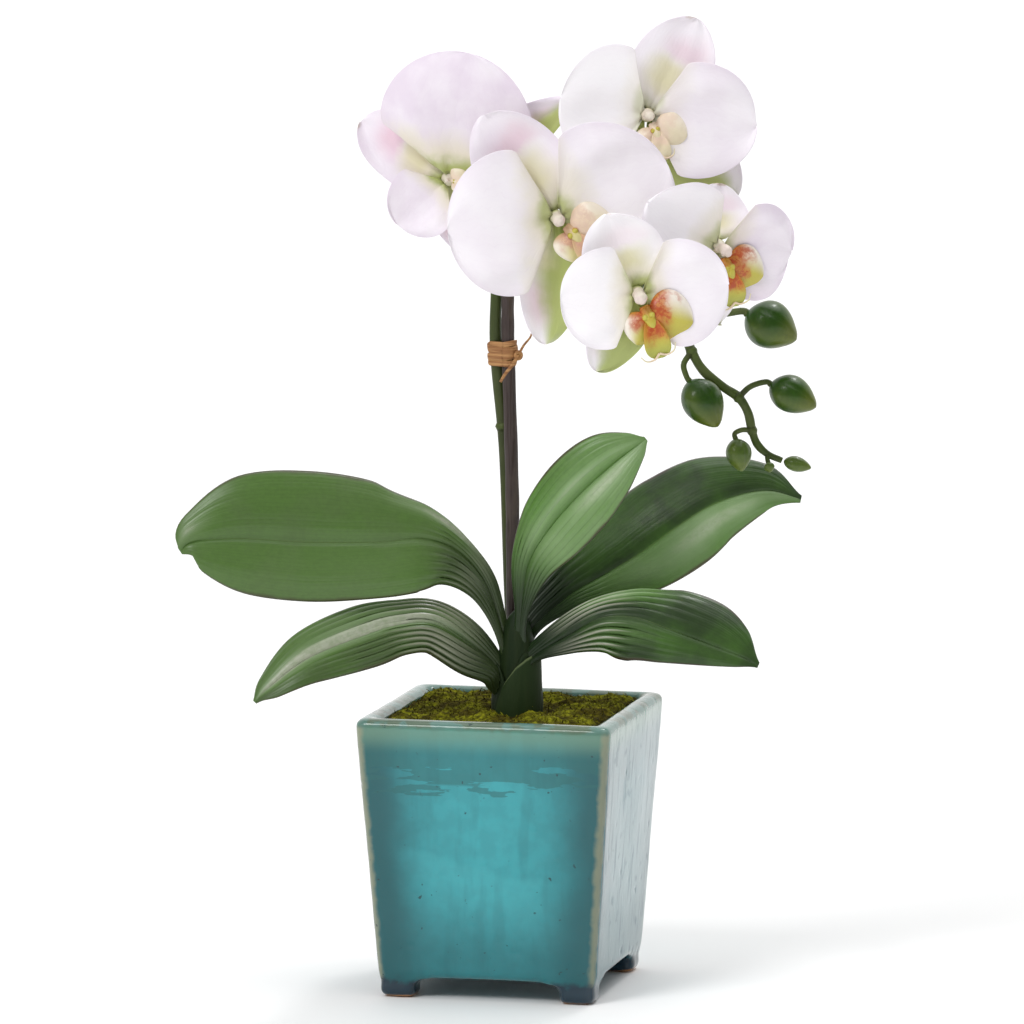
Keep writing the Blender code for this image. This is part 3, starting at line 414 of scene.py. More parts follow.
class Shape:
    """Points, faces and per-point fields gathered from several parts of one piece."""

    def __init__(self, *fields):
        self.verts = []
        self.faces = []
        self.fields = {name: [] for name in fields}

    def point(self, p, **values):
        self.verts.append(p)
        for name, store in self.fields.items():
            store.append(values.get(name, 0.0))
        return len(self.verts) - 1

    def tube(self, path, radius, sides=14, squash=1.0, wide=None, **values):
        """Round tube; radius is a list or a function of 0..1. A strip keeps its broad side along wide."""
        n = len(path)
        side = None
        first = len(self.verts)
        for i, p in enumerate(path):
            t = (path[min(i + 1, n - 1)] - path[max(i - 1, 0)]).normalized()
            if wide is not None:
                side = wide
            if side is None:
                side = t.cross(Vector((0.3, 1.0, 0.1))).normalized()
            side = (side - t * side.dot(t)).normalized()
            other = t.cross(side)
            f = i / (n - 1)
            r = radius(f) if callable(radius) else along(radius, f)
            for k in range(sides):
                a = 2 * math.pi * k / sides
                self.point(p + (side * math.cos(a) + other * (math.sin(a) * squash)) * r,
                           along=f, across=2 * k / sides - 1, **values)
        self.faces += ring_faces(n, sides, first)

    def turned(self, path, radii, sides, **values):
        """Tube with its own radius at each point of its path."""
        self.tube(path, lambda t: radii[round(t * (len(radii) - 1))], sides, **values)

    def blade(self, grid, thickness, rows=None, **values):
        """Thin closed sheet about a grid of points, thinning to its rim; rows are 0..1 along its length."""
        nu, nv = len(grid), len(grid[0])
        rows = rows or [i / (nu - 1) for i in range(nu)]
        top, low = {}, {}
        for i in range(nu):
            for j in range(nv):
                du = grid[min(i + 1, nu - 1)][j] - grid[max(i - 1, 0)][j]
                dv = grid[i][min(j + 1, nv - 1)] - grid[i][max(j - 1, 0)]
                s, v = rows[i], 2 * j / (nv - 1) - 1
                given = dict(values)
                given["inner"] = v * values.get("inner", 0.0)
                if i in (0, nu - 1) or j in (0, nv - 1):
                    top[i, j] = low[i, j] = self.point(grid[i][j], along=s, across=v, face=0.5, **given)
                    continue
                rim = min(1.0, 6 * min(s, 1 - s, (1 - abs(v)) / 2)) ** 0.5
                n = du.cross(dv).normalized() * (thickness * rim / 2)
                top[i, j] = self.point(grid[i][j] + n, along=s, across=v, face=1.0, **given)
                low[i, j] = self.point(grid[i][j] - n, along=s, across=v, face=0.0, **given)
        for i in range(nu - 1):
            for j in range(nv - 1):
                corners = ((i, j), (i, j + 1), (i + 1, j + 1), (i + 1, j))
                self.faces.append(tuple(top[c] for c in corners))
                self.faces.append(tuple(low[c] for c in reversed(corners)))

    def lay(self, name, material, nodes, plant=True):
        return lay_down(name, self.verts, self.faces, material, nodes, plant, self.fields)


# ---------------------------------------------------------------- shader helpers

class Paint:
    """Short hand for adding shader nodes to one tree."""

    def __init__(self, tree):
        self.tree = tree

    def add(self, kind, **settings):
        node = self.tree.nodes.new(kind)
        for key, value in settings.items():
            setattr(node, key, value)
        return node

    def feed(self, socket, value):
        if isinstance(value, bpy.types.NodeSocket):
            self.tree.links.new(value, socket)
        elif socket.type == "RGBA" and len(value) == 3:
            socket.default_value = (*value, 1.0)
        else:
            socket.default_value = value

    def math(self, operation, a, b=0.0):
        node = self.add("ShaderNodeMath", operation=operation)
        self.feed(node.inputs[0], a)
        self.feed(node.inputs[1], b)
        return node.outputs[0]

    def times(self, a, b):
        return self.math("MULTIPLY", a, b)

    def plus(self, a, b):
        return self.math("ADD", a, b)

    def less(self, a, b):
        return self.math("SUBTRACT", a, b)

    def unsigned(self, value):
        return self.math("ABSOLUTE", value)

    def step(self, value, low, high):
        """Smooth change from 0 at low to 1 at high; low may lie above high."""
        node = self.add("ShaderNodeMapRange", interpolation_type="SMOOTHSTEP")
        for socket, given in zip(node.inputs[:3], (value, low, high)):
            self.feed(socket, given)
        return node.outputs["Result"]

    def level(self, height, zone):
        """Smooth change over a zone of height, given in millimetres."""
        return self.step(height, zone[0] * MM, zone[1] * MM)

    def mix(self, factor, a, b):
        node = self.add("ShaderNodeMix", data_type="RGBA")
        self.feed(node.inputs["Factor"], factor)
        self.feed(node.inputs[6], a)
        self.feed(node.inputs[7], b)
        return node.outputs[2]

    def over(self, ground, colour, mask, amount=None):
        """Lay a colour over the ground where the mask is, as strongly as the amount says."""
        return self.mix(mask if amount is None else self.times(mask, amount), ground, colour)

    def field(self, name):
        return self.add("ShaderNodeAttribute", attribute_name=name).outputs["Fac"]

    def group(self, tree, **inputs):
        node = self.add("ShaderNodeGroup", node_tree=tree)
        for key, value in inputs.items():
            self.feed(node.inputs[key.replace("_", " ")], value)
        return node.outputs

    def mottle(self, scale, low, high, stretch=(1.0, 1.0, 1.0)):
        return self.group(mottle_group(), Scale=scale, From=low, To=high, Stretch=stretch)["Mask"]


def new_group(name, inputs, outputs):
    """Empty node group with its sockets; returns it, its Paint and its inner ends."""
    tree = bpy.data.node_groups.new(name, "ShaderNodeTree")
    for label, kind, value in inputs:
        socket = tree.interface.new_socket(label, in_out="INPUT", socket_type=kind)
        socket.default_value = value
    for label in outputs:
        tree.interface.new_socket(label, in_out="OUTPUT", socket_type="NodeSocketFloat")
    paint = Paint(tree)
    return tree, paint, paint.add("NodeGroupInput").outputs, paint.add("NodeGroupOutput").inputs


def mottle_group():
    """Cloudy patches in the piece's own space, stretched as asked."""
    if "Mottle" in bpy.data.node_groups:
        return bpy.data.node_groups["Mottle"]
    tree, paint, given, out = new_group("Mottle",
                                        (("Scale", "NodeSocketFloat", 100.0),
                                         ("From", "NodeSocketFloat", 0.4), ("To", "NodeSocketFloat", 0.6),
                                         ("Stretch", "NodeSocketVector", (1.0, 1.0, 1.0))), ("Mask",))
    place = paint.add("ShaderNodeTexCoord").outputs["Object"]
    pulled = paint.add("ShaderNodeVectorMath", operation="MULTIPLY")
    paint.feed(pulled.inputs[0], place)
    paint.feed(pulled.inputs[1], given["Stretch"])
    cloud = paint.add("ShaderNodeTexNoise")
    paint.feed(cloud.inputs["Vector"], pulled.outputs[0])
    paint.feed(cloud.inputs["Scale"], given["Scale"])
    cloud.inputs["Detail"].default_value = 4.0
    paint.feed(out["Mask"], paint.step(cloud.outputs["Fac"], given["From"], given["To"]))
    return tree


def vein_group():
    """Fine lines that fan from a blade's base, from its along and across fields."""
    if "Veins" in bpy.data.node_groups:
        return bpy.data.node_groups["Veins"]
    tree, paint, given, out = new_group("Veins",
                                        (("Count", "NodeSocketFloat", 12.0),
                                         ("Wander", "NodeSocketFloat", 0.4),
                                         ("Width", "NodeSocketFloat", 0.2)), ("Mask", "Height"))
    lengthwise, sideways = paint.field("along"), paint.field("across")
    joined = paint.add("ShaderNodeCombineXYZ")
    paint.feed(joined.inputs[0], paint.times(lengthwise, 5.0))
    paint.feed(joined.inputs[1], paint.times(sideways, 3.0))
    cloud = paint.add("ShaderNodeTexNoise")
    paint.feed(cloud.inputs["Vector"], joined.outputs[0])
    cloud.inputs["Scale"].default_value = 1.6
    wobble = paint.times(paint.less(cloud.outputs["Fac"], 0.5), given["Wander"])
    lane = paint.times(paint.plus(sideways, wobble), given["Count"])
    wave = paint.unsigned(paint.math("SINE", paint.times(lane, math.pi)))
    line = paint.less(1.0, paint.step(wave, 0.0, given["Width"]))
    paint.feed(out["Mask"], line)
    paint.feed(out["Height"], wave)
    return tree


class Finish(Paint):
    """Paint for a new material around its Principled shader."""

    def __init__(self, name, roughness, **constants):
        self.material = bpy.data.materials.new(name)
        self.material.use_nodes = True
        super().__init__(self.material.node_tree)
        self.shader = self.tree.nodes["Principled BSDF"]
        self.shader.inputs["Roughness"].default_value = roughness
        for key, value in constants.items():
            self.shader.inputs[key.replace("_", " ")].default_value = value

    def done(self, ground, height=None, strength=0.0, depth=0.0):
        """Give the shader its colour and a bump with its depth in millimetres; returns the material."""
        self.feed(self.shader.inputs["Base Color"], ground)
        if height is not None:
            node = self.add("ShaderNodeBump")
            node.inputs["Strength"].default_value = strength
            node.inputs["Distance"].default_value = depth * MM
            self.feed(node.inputs["Height"], height)
            self.feed(self.shader.inputs["Normal"], node.outputs["Normal"])
        return self.material


# ---------------------------------------------------------------- materials

def glaze_material():
    """Turquoise glaze: pooled on the faces' sides and in a ragged band, thin over rim and edges; painted
    reflection makes the faces' middles lighter and two faces greyer.
    """
    c = tones()
    paint = Finish("Turquoise glaze", 0.16, Coat_Weight=0.7, Coat_Roughness=0.04, Specular_IOR_Level=0.25)
    place = paint.add("ShaderNodeTexCoord").outputs["Object"]
    split = paint.add("ShaderNodeSeparateXYZ")
    paint.feed(split.inputs[0], place)
    x, y, z = split.outputs
    slope = (POT_TOP - POT_BOTTOM) / (POT_H - FOOT_H)
    half = paint.plus(paint.times(z, slope), (POT_BOTTOM - slope * FOOT_H) * MM)
    across = paint.math("DIVIDE", paint.math("MINIMUM", paint.unsigned(x), paint.unsigned(y)), half)
    cloudy = paint.mottle(26.0, 0.3, 0.7)
    fine = paint.mottle(140.0, 0.35, 0.65)
    wander = paint.times(paint.less(cloudy, 0.5), 0.12)
    pool = paint.step(paint.plus(across, wander), 0.44, 0.92)
    # glaze deepens towards each face's edges; the lighter middle is partly painted reflection
    ground = paint.mix(paint.times(paint.step(across, 0.05, 0.75), 0.30), c.glaze, c.glaze_deep)
    ground = paint.over(ground, c.glaze_deep, pool)
    ground = paint.over(ground, c.glaze_deep, fine, 0.16)
    low = paint.level(paint.plus(z, paint.times(wander, 0.05)), LOW_POOL)
    ground = paint.over(ground, c.glaze_deep, low, 0.62)
    # ragged band of thick glaze under the rim, with short runs below it
    ragged = paint.mottle(38.0, 0.42, 0.52, stretch=(0.7, 0.7, 4.5))
    runs = paint.mottle(120.0, 0.45, 0.58, stretch=(0.6, 0.6, 3.0))
    reach = paint.plus(z, paint.times(paint.less(ragged, 0.5), 0.012))
    reach = paint.plus(reach, paint.times(paint.less(runs, 0.5), 0.008))
    band = paint.times(paint.level(reach, BAND_FOOT), paint.level(z, BAND_HEAD))
    ground = paint.over(ground, (0.006, 0.112, 0.112), band, 0.62)
    # a paler patch over the middle of the lower half, painted reflection, and dull streaks down the face
    slant = paint.plus(z, paint.times(x, 0.22))
    slant = paint.plus(slant, paint.times(cloudy, 0.004))
    painted_reflection = paint.times(paint.level(slant, REFLECTION_HEAD), paint.level(slant, REFLECTION_FOOT))
    painted_reflection = paint.times(painted_reflection, paint.step(across, 0.80, 0.35))
    ground = paint.over(ground, (0.06, 0.42, 0.46), painted_reflection, 0.30)
    drips = paint.mottle(120.0, 0.50, 0.66, stretch=(1.0, 1.0, 0.12))
    ground = paint.over(ground, c.glaze_deep, drips, 0.18)
    # the two faces across the leaves are greyer, painted reflection of the white surroundings, with dull
    # runs
    flank = paint.step(paint.less(paint.unsigned(x), paint.unsigned(y)), -0.001, 0.001)
    ground = paint.over(ground, (0.016, 0.115, 0.142), flank, 0.75)
    runs_down = paint.mottle(300.0, 0.50, 0.68, stretch=(1.0, 1.0, 0.08))
    dull = paint.times(flank, paint.math("MAXIMUM", runs_down, paint.mottle(90.0, 0.60, 0.70)))
    ground = paint.over(ground, (0.14, 0.27, 0.185), paint.level(z, PALE_ZONE), 0.75)
    # thin glaze on upright edges and rim
    edge = paint.step(paint.plus(across, paint.times(fine, 0.015)), 0.925, 0.975)
    ground = paint.over(ground, c.glaze_break, edge, 0.75)
    rim = paint.level(paint.plus(z, paint.times(fine, 0.0012)), RIM_ZONE)
    ground = paint.over(ground, (0.115, 0.15, 0.10), rim, 0.85)
    inside = paint.times(rim, paint.step(paint.mottle(70.0, 0.4, 0.6), 0.3, 0.8))
    ground = paint.over(ground, (0.12, 0.30, 0.29), inside, 0.45)
    # feet: deep glaze, bare clay at the soles
    foot = paint.level(paint.plus(z, paint.times(fine, 0.003)), FOOT_ZONE)
    ground = paint.over(ground, (0.002, 0.022, 0.04), foot)
    sole = paint.level(paint.plus(z, paint.times(cloudy, 0.0022)), SOLE_ZONE)
    ground = paint.over(ground, (0.42, 0.22, 0.10), sole)
    # specks and pinholes
    speck = paint.mottle(300.0, 0.69, 0.73)
    ground = paint.over(ground, (0.004, 0.03, 0.035), speck, 0.8)
    paint.feed(paint.shader.inputs["Roughness"], paint.plus(0.14, paint.times(sole, 0.5)))
    dry = paint.math("MAXIMUM", paint.times(rim, 0.7), sole)
    gloss = paint.less(paint.less(1.0, dry), paint.times(dull, 0.6))
    paint.feed(paint.shader.inputs["Coat Weight"], paint.times(gloss, 0.70))
    height = paint.less(paint.plus(cloudy, paint.times(fine, 0.12)), paint.times(speck, 1.2))
    return paint.done(ground, height, 0.35, 0.5)


def leaf_material():
    """Satin leaf: fine lines and dark edges; painted shade in the folds, at the base and on shaded sides;
    painted highlight and sheen in patches; paler crests towards the base, partly painted highlight.
    """
    c = tones()
    paint = Finish("Leaf", 0.36, Coat_Weight=0.12, Coat_Roughness=0.2, Specular_IOR_Level=0.32)
    s, v, side = paint.field("along"), paint.field("across"), paint.field("face")
    lines = paint.group(vein_group(), Count=17.0, Wander=0.10, Width=0.55)
    cloudy = paint.mottle(45.0, 0.35, 0.65)
    fine = paint.mottle(420.0, 0.3, 0.7)
    base = paint.mix(paint.times(cloudy, 0.55), c.leaf_green, (0.105, 0.20, 0.05))
    base = paint.over(base, c.leaf_dark, lines["Mask"], 0.09)
    base = paint.over(base, c.leaf_dark, fine, 0.12)
    # painted shade where this field is above 0 (a leaf's shaded side or patch), painted highlight in paler
    # green below 0
    painted_light_and_shade = paint.times(paint.field("painted_light_and_shade"), paint.plus(0.7, paint.times(cloudy, 0.3)))
    base = paint.over(base, c.leaf_dark, paint.math("MAXIMUM", painted_light_and_shade, 0.0))
    base = paint.over(base, c.leaf_highlight_green, paint.math("MAXIMUM", paint.times(painted_light_and_shade, -1.0), 0.0))
    far = paint.unsigned(v)
    edge = paint.step(paint.plus(far, paint.times(cloudy, 0.03)), 0.93, 1.0)
    base = paint.over(base, (0.05, 0.025, 0.015), edge, 0.8)
    # painted shade where the leaf's base gathers into the crown
    foot = paint.step(s, 0.48, 0.27)
    base = paint.over(base, c.leaf_dark, foot, 0.94)
    # paler crests towards the base: partly the leaf's own pale streaks, partly painted highlight where the
    # folds catch the light
    reach = paint.times(paint.step(s, 0.76, 0.48), paint.step(s, 0.27, 0.42))
    crest = paint.times(paint.step(paint.field("crest"), 0.40, 1.15), reach)
    base = paint.over(base, (0.55, 0.54, 0.44), crest, 0.8)
    # painted sheen: whitish glossy streaks where the patches pass full paleness
    painted_sheen = paint.times(paint.field("sheen"), paint.plus(0.55, paint.times(fine, 0.35)))
    base = paint.over(base, (0.62, 0.64, 0.52), painted_sheen)
    # painted shade in the folds' valleys
    valley = paint.step(paint.field("crest"), 0.0, -0.7)
    base = paint.over(base, c.leaf_dark, valley, 0.85)
    rib = paint.step(far, 0.035, 0.0)
    base = paint.over(base, (0.14, 0.21, 0.07), rib, 0.45)
    base = paint.over(base, (0.06, 0.085, 0.03), paint.step(side, 0.4, 0.1), 0.45)
    paint.feed(paint.shader.inputs["Roughness"], paint.plus(0.30, paint.times(cloudy, 0.14)))
    return paint.done(base, paint.plus(lines["Height"], paint.times(fine, 0.3)), 0.14, 0.3)


def bloom_ground(paint, blotch, lime_half):
    """Shared colouring of petals and sepals, from lime base to lilac white; the lilac is partly painted
    shade.
    """
    c = tones()
    s, v = paint.field("along"), paint.field("across")
    cloudy = paint.mottle(55.0, 0.3, 0.7)
    shifted = paint.plus(s, paint.times(paint.less(cloudy, 0.5), 0.10))
    # lilac tint: partly the tepals' own lilac, partly painted shade on tepals turned from the light; the
    # margins' lilac is painted shade
    tint = paint.times(paint.field("tint"), paint.plus(0.55, paint.times(cloudy, 0.45)))
    margin = paint.times(paint.step(paint.unsigned(v), 0.45, 1.0), 0.30)
    ground = paint.mix(paint.plus(tint, margin), c.petal_white, c.petal_lilac)
    lime = paint.field("lime")
    cream = paint.times(paint.step(shifted, 0.42, 0.10), paint.times(lime, 0.85))
    ground = paint.over(ground, c.petal_cream, cream)
    ground = paint.over(ground, c.petal_lime, paint.step(shifted, 0.17, 0.03), lime)
    veins = paint.group(vein_group(), Count=11.0, Wander=0.22, Width=0.16)
    ground = paint.over(ground, (0.62, 0.48, 0.66), veins["Mask"], 0.07)
    if blotch:
        near = paint.times(paint.step(shifted, 0.48, 0.62), paint.step(shifted, 0.90, 0.68))
        middle = paint.step(paint.unsigned(paint.plus(v, 0.15)), 0.70, 0.10)
        pink = paint.times(paint.times(near, middle), paint.field("blush"))
        ground = paint.over(ground, c.blush, pink, 0.6)
        yellow = paint.times(paint.step(shifted, 0.10, 0.30), paint.step(shifted, 0.62, 0.40))
        narrow = paint.step(paint.unsigned(v), 0.60, 0.05)
        ground = paint.over(ground, (0.66, 0.62, 0.22), paint.times(yellow, narrow), 0.6)
        tip = paint.step(shifted, 0.975, 1.01)
        ground = paint.over(ground, (0.45, 0.33, 0.20), tip, 0.6)
    if lime_half:
        inner = paint.step(paint.plus(paint.field("inner"), paint.times(cloudy, 0.2)), -0.30, 0.25)
        inner = paint.times(inner, paint.step(shifted, 1.10, 0.86))
        ground = paint.over(ground, (0.40, 0.47, 0.11), inner, 0.92)
    return ground, veins["Height"]


def tepal_material(name, blotch, lime_half):
    """Soft matt white with a faint sheen and fine raised veins."""
    paint = Finish(name, 0.55, Sheen_Weight=0.15, Sheen_Roughness=0.5, Specular_IOR_Level=0.35)
    ground, height = bloom_ground(paint, blotch, lime_half)
    return paint.done(ground, height, 0.16, 0.25)


def lip_material():
    """Gold lip with red veins in the throat, lime outside and white on the side lobes' shoulders."""
    c = tones()
    paint = Finish("Lip", 0.42, Coat_Weight=0.2, Coat_Roughness=0.25)
    s, v, kind = paint.field("along"), paint.field("across"), paint.field("lobe")
    fine = paint.mottle(420.0, 0.40, 0.56)
    blot = paint.mottle(170.0, 0.35, 0.6)
    veins = paint.group(vein_group(), Count=6.0, Wander=0.55, Width=0.55)
    far = paint.step(paint.plus(s, paint.times(blot, 0.12)), 0.40, 0.78)
    ground = paint.mix(far, c.lip_gold, (0.52, 0.46, 0.05))
    shoulder = paint.times(paint.step(paint.field("shoulder"), -0.05, 0.60), paint.step(s, 0.10, 0.4))
    ground = paint.over(ground, (0.90, 0.84, 0.76), shoulder, 0.95)
    middle = paint.step(paint.unsigned(paint.less(v, 0.15)), 0.85, 0.30)
    throat = paint.step(paint.plus(s, paint.times(blot, 0.25)), 0.74, 0.40)
    throat = paint.times(throat, middle)
    ground = paint.over(ground, (0.56, 0.17, 0.025), throat, 0.75)
    red = paint.times(throat, paint.math("MAXIMUM", veins["Mask"], paint.times(fine, 0.8)))
    ground = paint.over(ground, c.lip_red, red, 0.92)
    mid = paint.step(kind, 0.4, 0.6)
    ground = paint.over(ground, (0.40, 0.42, 0.07), mid, paint.step(s, 0.45, 0.9))
    ground = paint.over(ground, (0.88, 0.78, 0.62), paint.field("pale"), 0.8)
    return paint.done(ground, fine, 0.3, 0.3)


def column_material():
    """Cream column with a rosy blush and a dark hollow."""
    paint = Finish("Column", 0.42, Coat_Weight=0.15, Coat_Roughness=0.3)
    s = paint.field("along")
    blot = paint.mottle(200.0, 0.4, 0.6)
    ground = paint.mix(paint.step(s, 0.5, 0.2), (0.74, 0.67, 0.56), (0.46, 0.50, 0.16))
    ground = paint.over(ground, (0.80, 0.60, 0.62), blot, 0.35)
    ground = paint.over(ground, (0.10, 0.10, 0.02), paint.field("hollow"))
    return paint.done(ground)


def bud_material():
    """Satin green, paler on the seams' crests and yellower at the tip."""
    c = tones()
    paint = Finish("Bud", 0.34, Coat_Weight=0.2, Coat_Roughness=0.15, Specular_IOR_Level=0.3)
    s = paint.field("along")
    cloudy = paint.mottle(90.0, 0.35, 0.65)
    fine = paint.mottle(500.0, 0.35, 0.6)
    ground = paint.mix(paint.times(cloudy, 0.5), c.bud_green, (0.03, 0.085, 0.004))
    ground = paint.over(ground, (0.13, 0.145, 0.006), paint.step(s, 0.55, 1.0), 0.75)
    ground = paint.over(ground, (0.17, 0.21, 0.04), paint.field("crest"), 0.35)
    ground = paint.over(ground, (0.105, 0.155, 0.025), paint.field("young"), 0.7)
    ground = paint.over(ground, (0.02, 0.04, 0.006), fine, 0.15)
    return paint.done(ground, fine, 0.2, 0.2)


def stem_material():
    """Streaked green that darkens towards the foot."""
    c = tones()
    paint = Finish("Stem", 0.5, Specular_IOR_Level=0.3)
    streak = paint.mottle(260.0, 0.35, 0.65, stretch=(1.0, 1.0, 0.12))
    cloudy = paint.mottle(60.0, 0.4, 0.6)
    ground = paint.mix(paint.times(streak, 0.5), c.stem_green, (0.035, 0.05, 0.012))
    ground = paint.over(ground, (0.11, 0.13, 0.04), cloudy, 0.4)
    ground = paint.over(ground, (0.03, 0.035, 0.01), paint.step(paint.field("along"), 0.30, 0.12), 0.6)
    return paint.done(ground, streak, 0.35, 0.3)


def crown_material():
    """Dark streaked sheaths, darkened further as painted shade under the leaves; the front one is lighter,
    with a pale edge.
    """
    c = tones()
    paint = Finish("Crown", 0.55, Specular_IOR_Level=0.16)
    streak = paint.mottle(240.0, 0.35, 0.65, stretch=(1.0, 1.0, 0.10))
    # the sheaths' own dark streaked green, made darker still as painted shade where the leaves overhang the
    # crown
    ground = paint.mix(streak, c.leaf_dark, (0.014, 0.026, 0.007))
    lip = paint.times(paint.field("front"), paint.step(paint.field("along"), 0.955, 0.985))
    ground = paint.over(ground, (0.16, 0.20, 0.09), lip, 0.8)
    ground = paint.over(ground, (0.030, 0.055, 0.014), paint.field("front"), 0.35)
    return paint.done(ground, streak, 0.4, 0.4)


def cane_material():
    """Dark stained cane with long grain and worn streaks."""
    c = tones()
    paint = Finish("Stained cane", 0.55, Specular_IOR_Level=0.25)
    grain = paint.mottle(700.0, 0.35, 0.62, stretch=(1.0, 1.0, 0.035))
    wear = paint.mottle(120.0, 0.50, 0.66, stretch=(1.0, 1.0, 0.3))
    ground = paint.mix(grain, c.cane, (0.062, 0.046, 0.042))
    ground = paint.over(ground, (0.10, 0.075, 0.06), wear, 0.5)
    return paint.done(ground, grain, 0.6, 0.3)


def raffia_material():
    """Dry fibre with strands along the strip."""
    c = tones()
    paint = Finish("Raffia", 0.7)
    strands = paint.mottle(900.0, 0.35, 0.62, stretch=(0.05, 0.05, 1.0))
    ground = paint.mix(strands, c.raffia, (0.26, 0.11, 0.035))
    return paint.done(ground, strands, 0.6, 0.25)


def moss_material():
    """Yellow-green tufts over brown gaps."""
    c = tones()
    paint = Finish("Moss", 0.95, Specular_IOR_Level=0.1)
    patches = paint.mottle(75.0, 0.40, 0.60)
    tufts = paint.mottle(420.0, 0.35, 0.65)
    ground = paint.mix(patches, c.moss_green, (0.10, 0.085, 0.006))
    ground = paint.over(ground, c.moss_brown, tufts, 0.75)
    ground = paint.over(ground, c.moss_brown, paint.step(paint.field("height"), 0.45, 0.0))
    return paint.done(ground, tufts, 0.9, 0.8)


def bark_material():
    """Dark brown chips."""
    paint = Finish("Bark chips", 0.9)
    chips = paint.mottle(150.0, 0.4, 0.6)
    return paint.done(paint.mix(chips, (0.05, 0.03, 0.017), (0.012, 0.008, 0.005)), chips, 0.8, 1.0)


# ---------------------------------------------------------------- pot and filling

def finish_medium():
    """The bark is wholly covered, so it keeps its own solid and only takes a finish."""
    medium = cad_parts["growing_medium"]
    medium.data.materials.clear()
    medium.data.materials.append(bark_material())


def rounded_square(half, corner, z, segments=8):
    """Loop of points round a square with rounded corners."""
    pts = []
    for cx, cy, start in ((1, 1, 0), (-1, 1, 90), (-1, -1, 180), (1, -1, 270)):
        for k in range(segments + 1):
            a = math.radians(start + 90.0 * k / segments)
            pts.append(Vector(((half - corner) * cx + corner * math.cos(a),
                               (half - corner) * cy + corner * math.sin(a), z)))
    return pts


def pot_half(z):
    """Half width of the pot's outside at a height."""
    return POT_BOTTOM + (POT_TOP - POT_BOTTOM) * (z - FOOT_H) / (POT_H - FOOT_H)


def inner_half(z):
    """Half width of the pot's inside at a height."""
    return pot_half(z) - POT_WALL


def clay_blank(loops):
    """Plain object over a stack of loops, used up when the pot is joined."""
    mesh = bpy.data.meshes.new("blank")
    mesh.from_pydata([p * MM for loop in loops for p in loop], [], ring_faces(len(loops), len(loops[0])))
    turn_outward(mesh)
    blank = bpy.data.objects.new("blank", mesh)
    bpy.context.scene.collection.objects.link(blank)
    return blank


def pot_body():
    """Tapered shell, from the underside over the rounded rim and down to the inner floor."""
    floor = FOOT_H + POT_FLOOR
    loops = [rounded_square(pot_half(FOOT_H) - 2.5, POT_CORNER - 1.5, FOOT_H),
             rounded_square(pot_half(FOOT_H + 2.0), POT_CORNER, FOOT_H + 2.0),
             rounded_square(pot_half(POT_H - RIM_ROUND), POT_CORNER, POT_H - RIM_ROUND)]
    outer = [math.radians(a) for a in (20.0, 40.0, 60.0, 90.0)]
    for a in outer:
        z = POT_H - RIM_ROUND * (1 - math.sin(a))
        loops.append(rounded_square(pot_half(POT_H) - RIM_ROUND * (1 - math.cos(a)), POT_CORNER, z))
    for a in outer[::-1] + [0.0]:
        z = POT_H - RIM_ROUND * (1 - math.sin(a))
        loops.append(rounded_square(inner_half(POT_H) + RIM_ROUND * (1 - math.cos(a)), POT_CORNER - 1.0, z))
    loops.append(rounded_square(inner_half(floor), POT_CORNER - 1.0, floor))
    return clay_blank(loops)


def pot_foot(sx, sy):
    """Corner foot that flares into the base with a hollow curve, and a rounded toe."""
    loops = []
    for z, width, inset in FOOT_RINGS:
        mid = pot_half(FOOT_H) - inset - width / 2
        loops.append([p + Vector((sx * mid, sy * mid, 0.0)) for p in rounded_square(width / 2, 3.6, z, 5)])
    return clay_blank(loops)


def build_pot():
    """Join shell and feet, soften the edges, then let the walls stray a little and pit them."""
    body = pot_body()
    feet = [pot_foot(sx, sy) for sx in (-1, 1) for sy in (-1, 1)]
    for foot in feet:
        join = body.modifiers.new("join", "BOOLEAN")
        join.operation = "UNION"
        join.object = foot
    clay = body.modifiers.new("clay", "REMESH")
    clay.mode = "VOXEL"
    clay.voxel_size = CLAY_GRAIN * MM
    soften = body.modifiers.new("soften", "SMOOTH")
    soften.factor = 0.5
    soften.iterations = 5
    graph = bpy.context.evaluated_depsgraph_get()
    mesh = bpy.data.meshes.new_from_object(body.evaluated_get(graph))
    normals = [v.normal.copy() for v in mesh.vertices]
    wave = sizes().glaze_waviness
    for vertex, normal in zip(mesh.vertices, normals):
        p = vertex.co
        swell = noise.noise(Vector((p.x * 28.0, p.y * 28.0, p.z * 22.0)))
        pit = max(0.0, noise.noise(p * 260.0 + Vector((3.0, 1.0, 7.0))) - 0.52)
        vertex.co = p + normal * (swell * wave - pit * 3.0 * wave)
        vertex.co.z = max(vertex.co.z, 0.0)
    verts = [v.co / MM for v in mesh.vertices]
    faces = [tuple(f.vertices) for f in mesh.polygons]
    for blank in [body] + feet:
        data = blank.data
        bpy.data.objects.remove(blank)
        bpy.data.meshes.remove(data)
    bpy.data.meshes.remove(mesh)
    return lay_down("glazed_pot", verts, faces, glaze_material(), ["pot"], plant=False)


def stems_at(x, y):
    """Distance in millimetres from a place on the moss to the nearest stem's surface."""
    turn = Matrix.Rotation(-PLANT_TURN, 2)
    p = turn @ Vector((x, y))
    crown = math.hypot(p.x - CROWN_AT[0], (p.y - CROWN_AT[1]) / CROWN_FLAT) - 11.0
    stake = math.hypot(p.x - STAKE_AT_MOSS[0], p.y - STAKE_AT_MOSS[1]) - STAKE_R * 1.1
    spike = math.hypot(p.x - SPIKE_AT_MOSS[0], p.y - SPIKE_AT_MOSS[1]) - SPIKE_R[0][1]
    return min(crown, stake, spike)


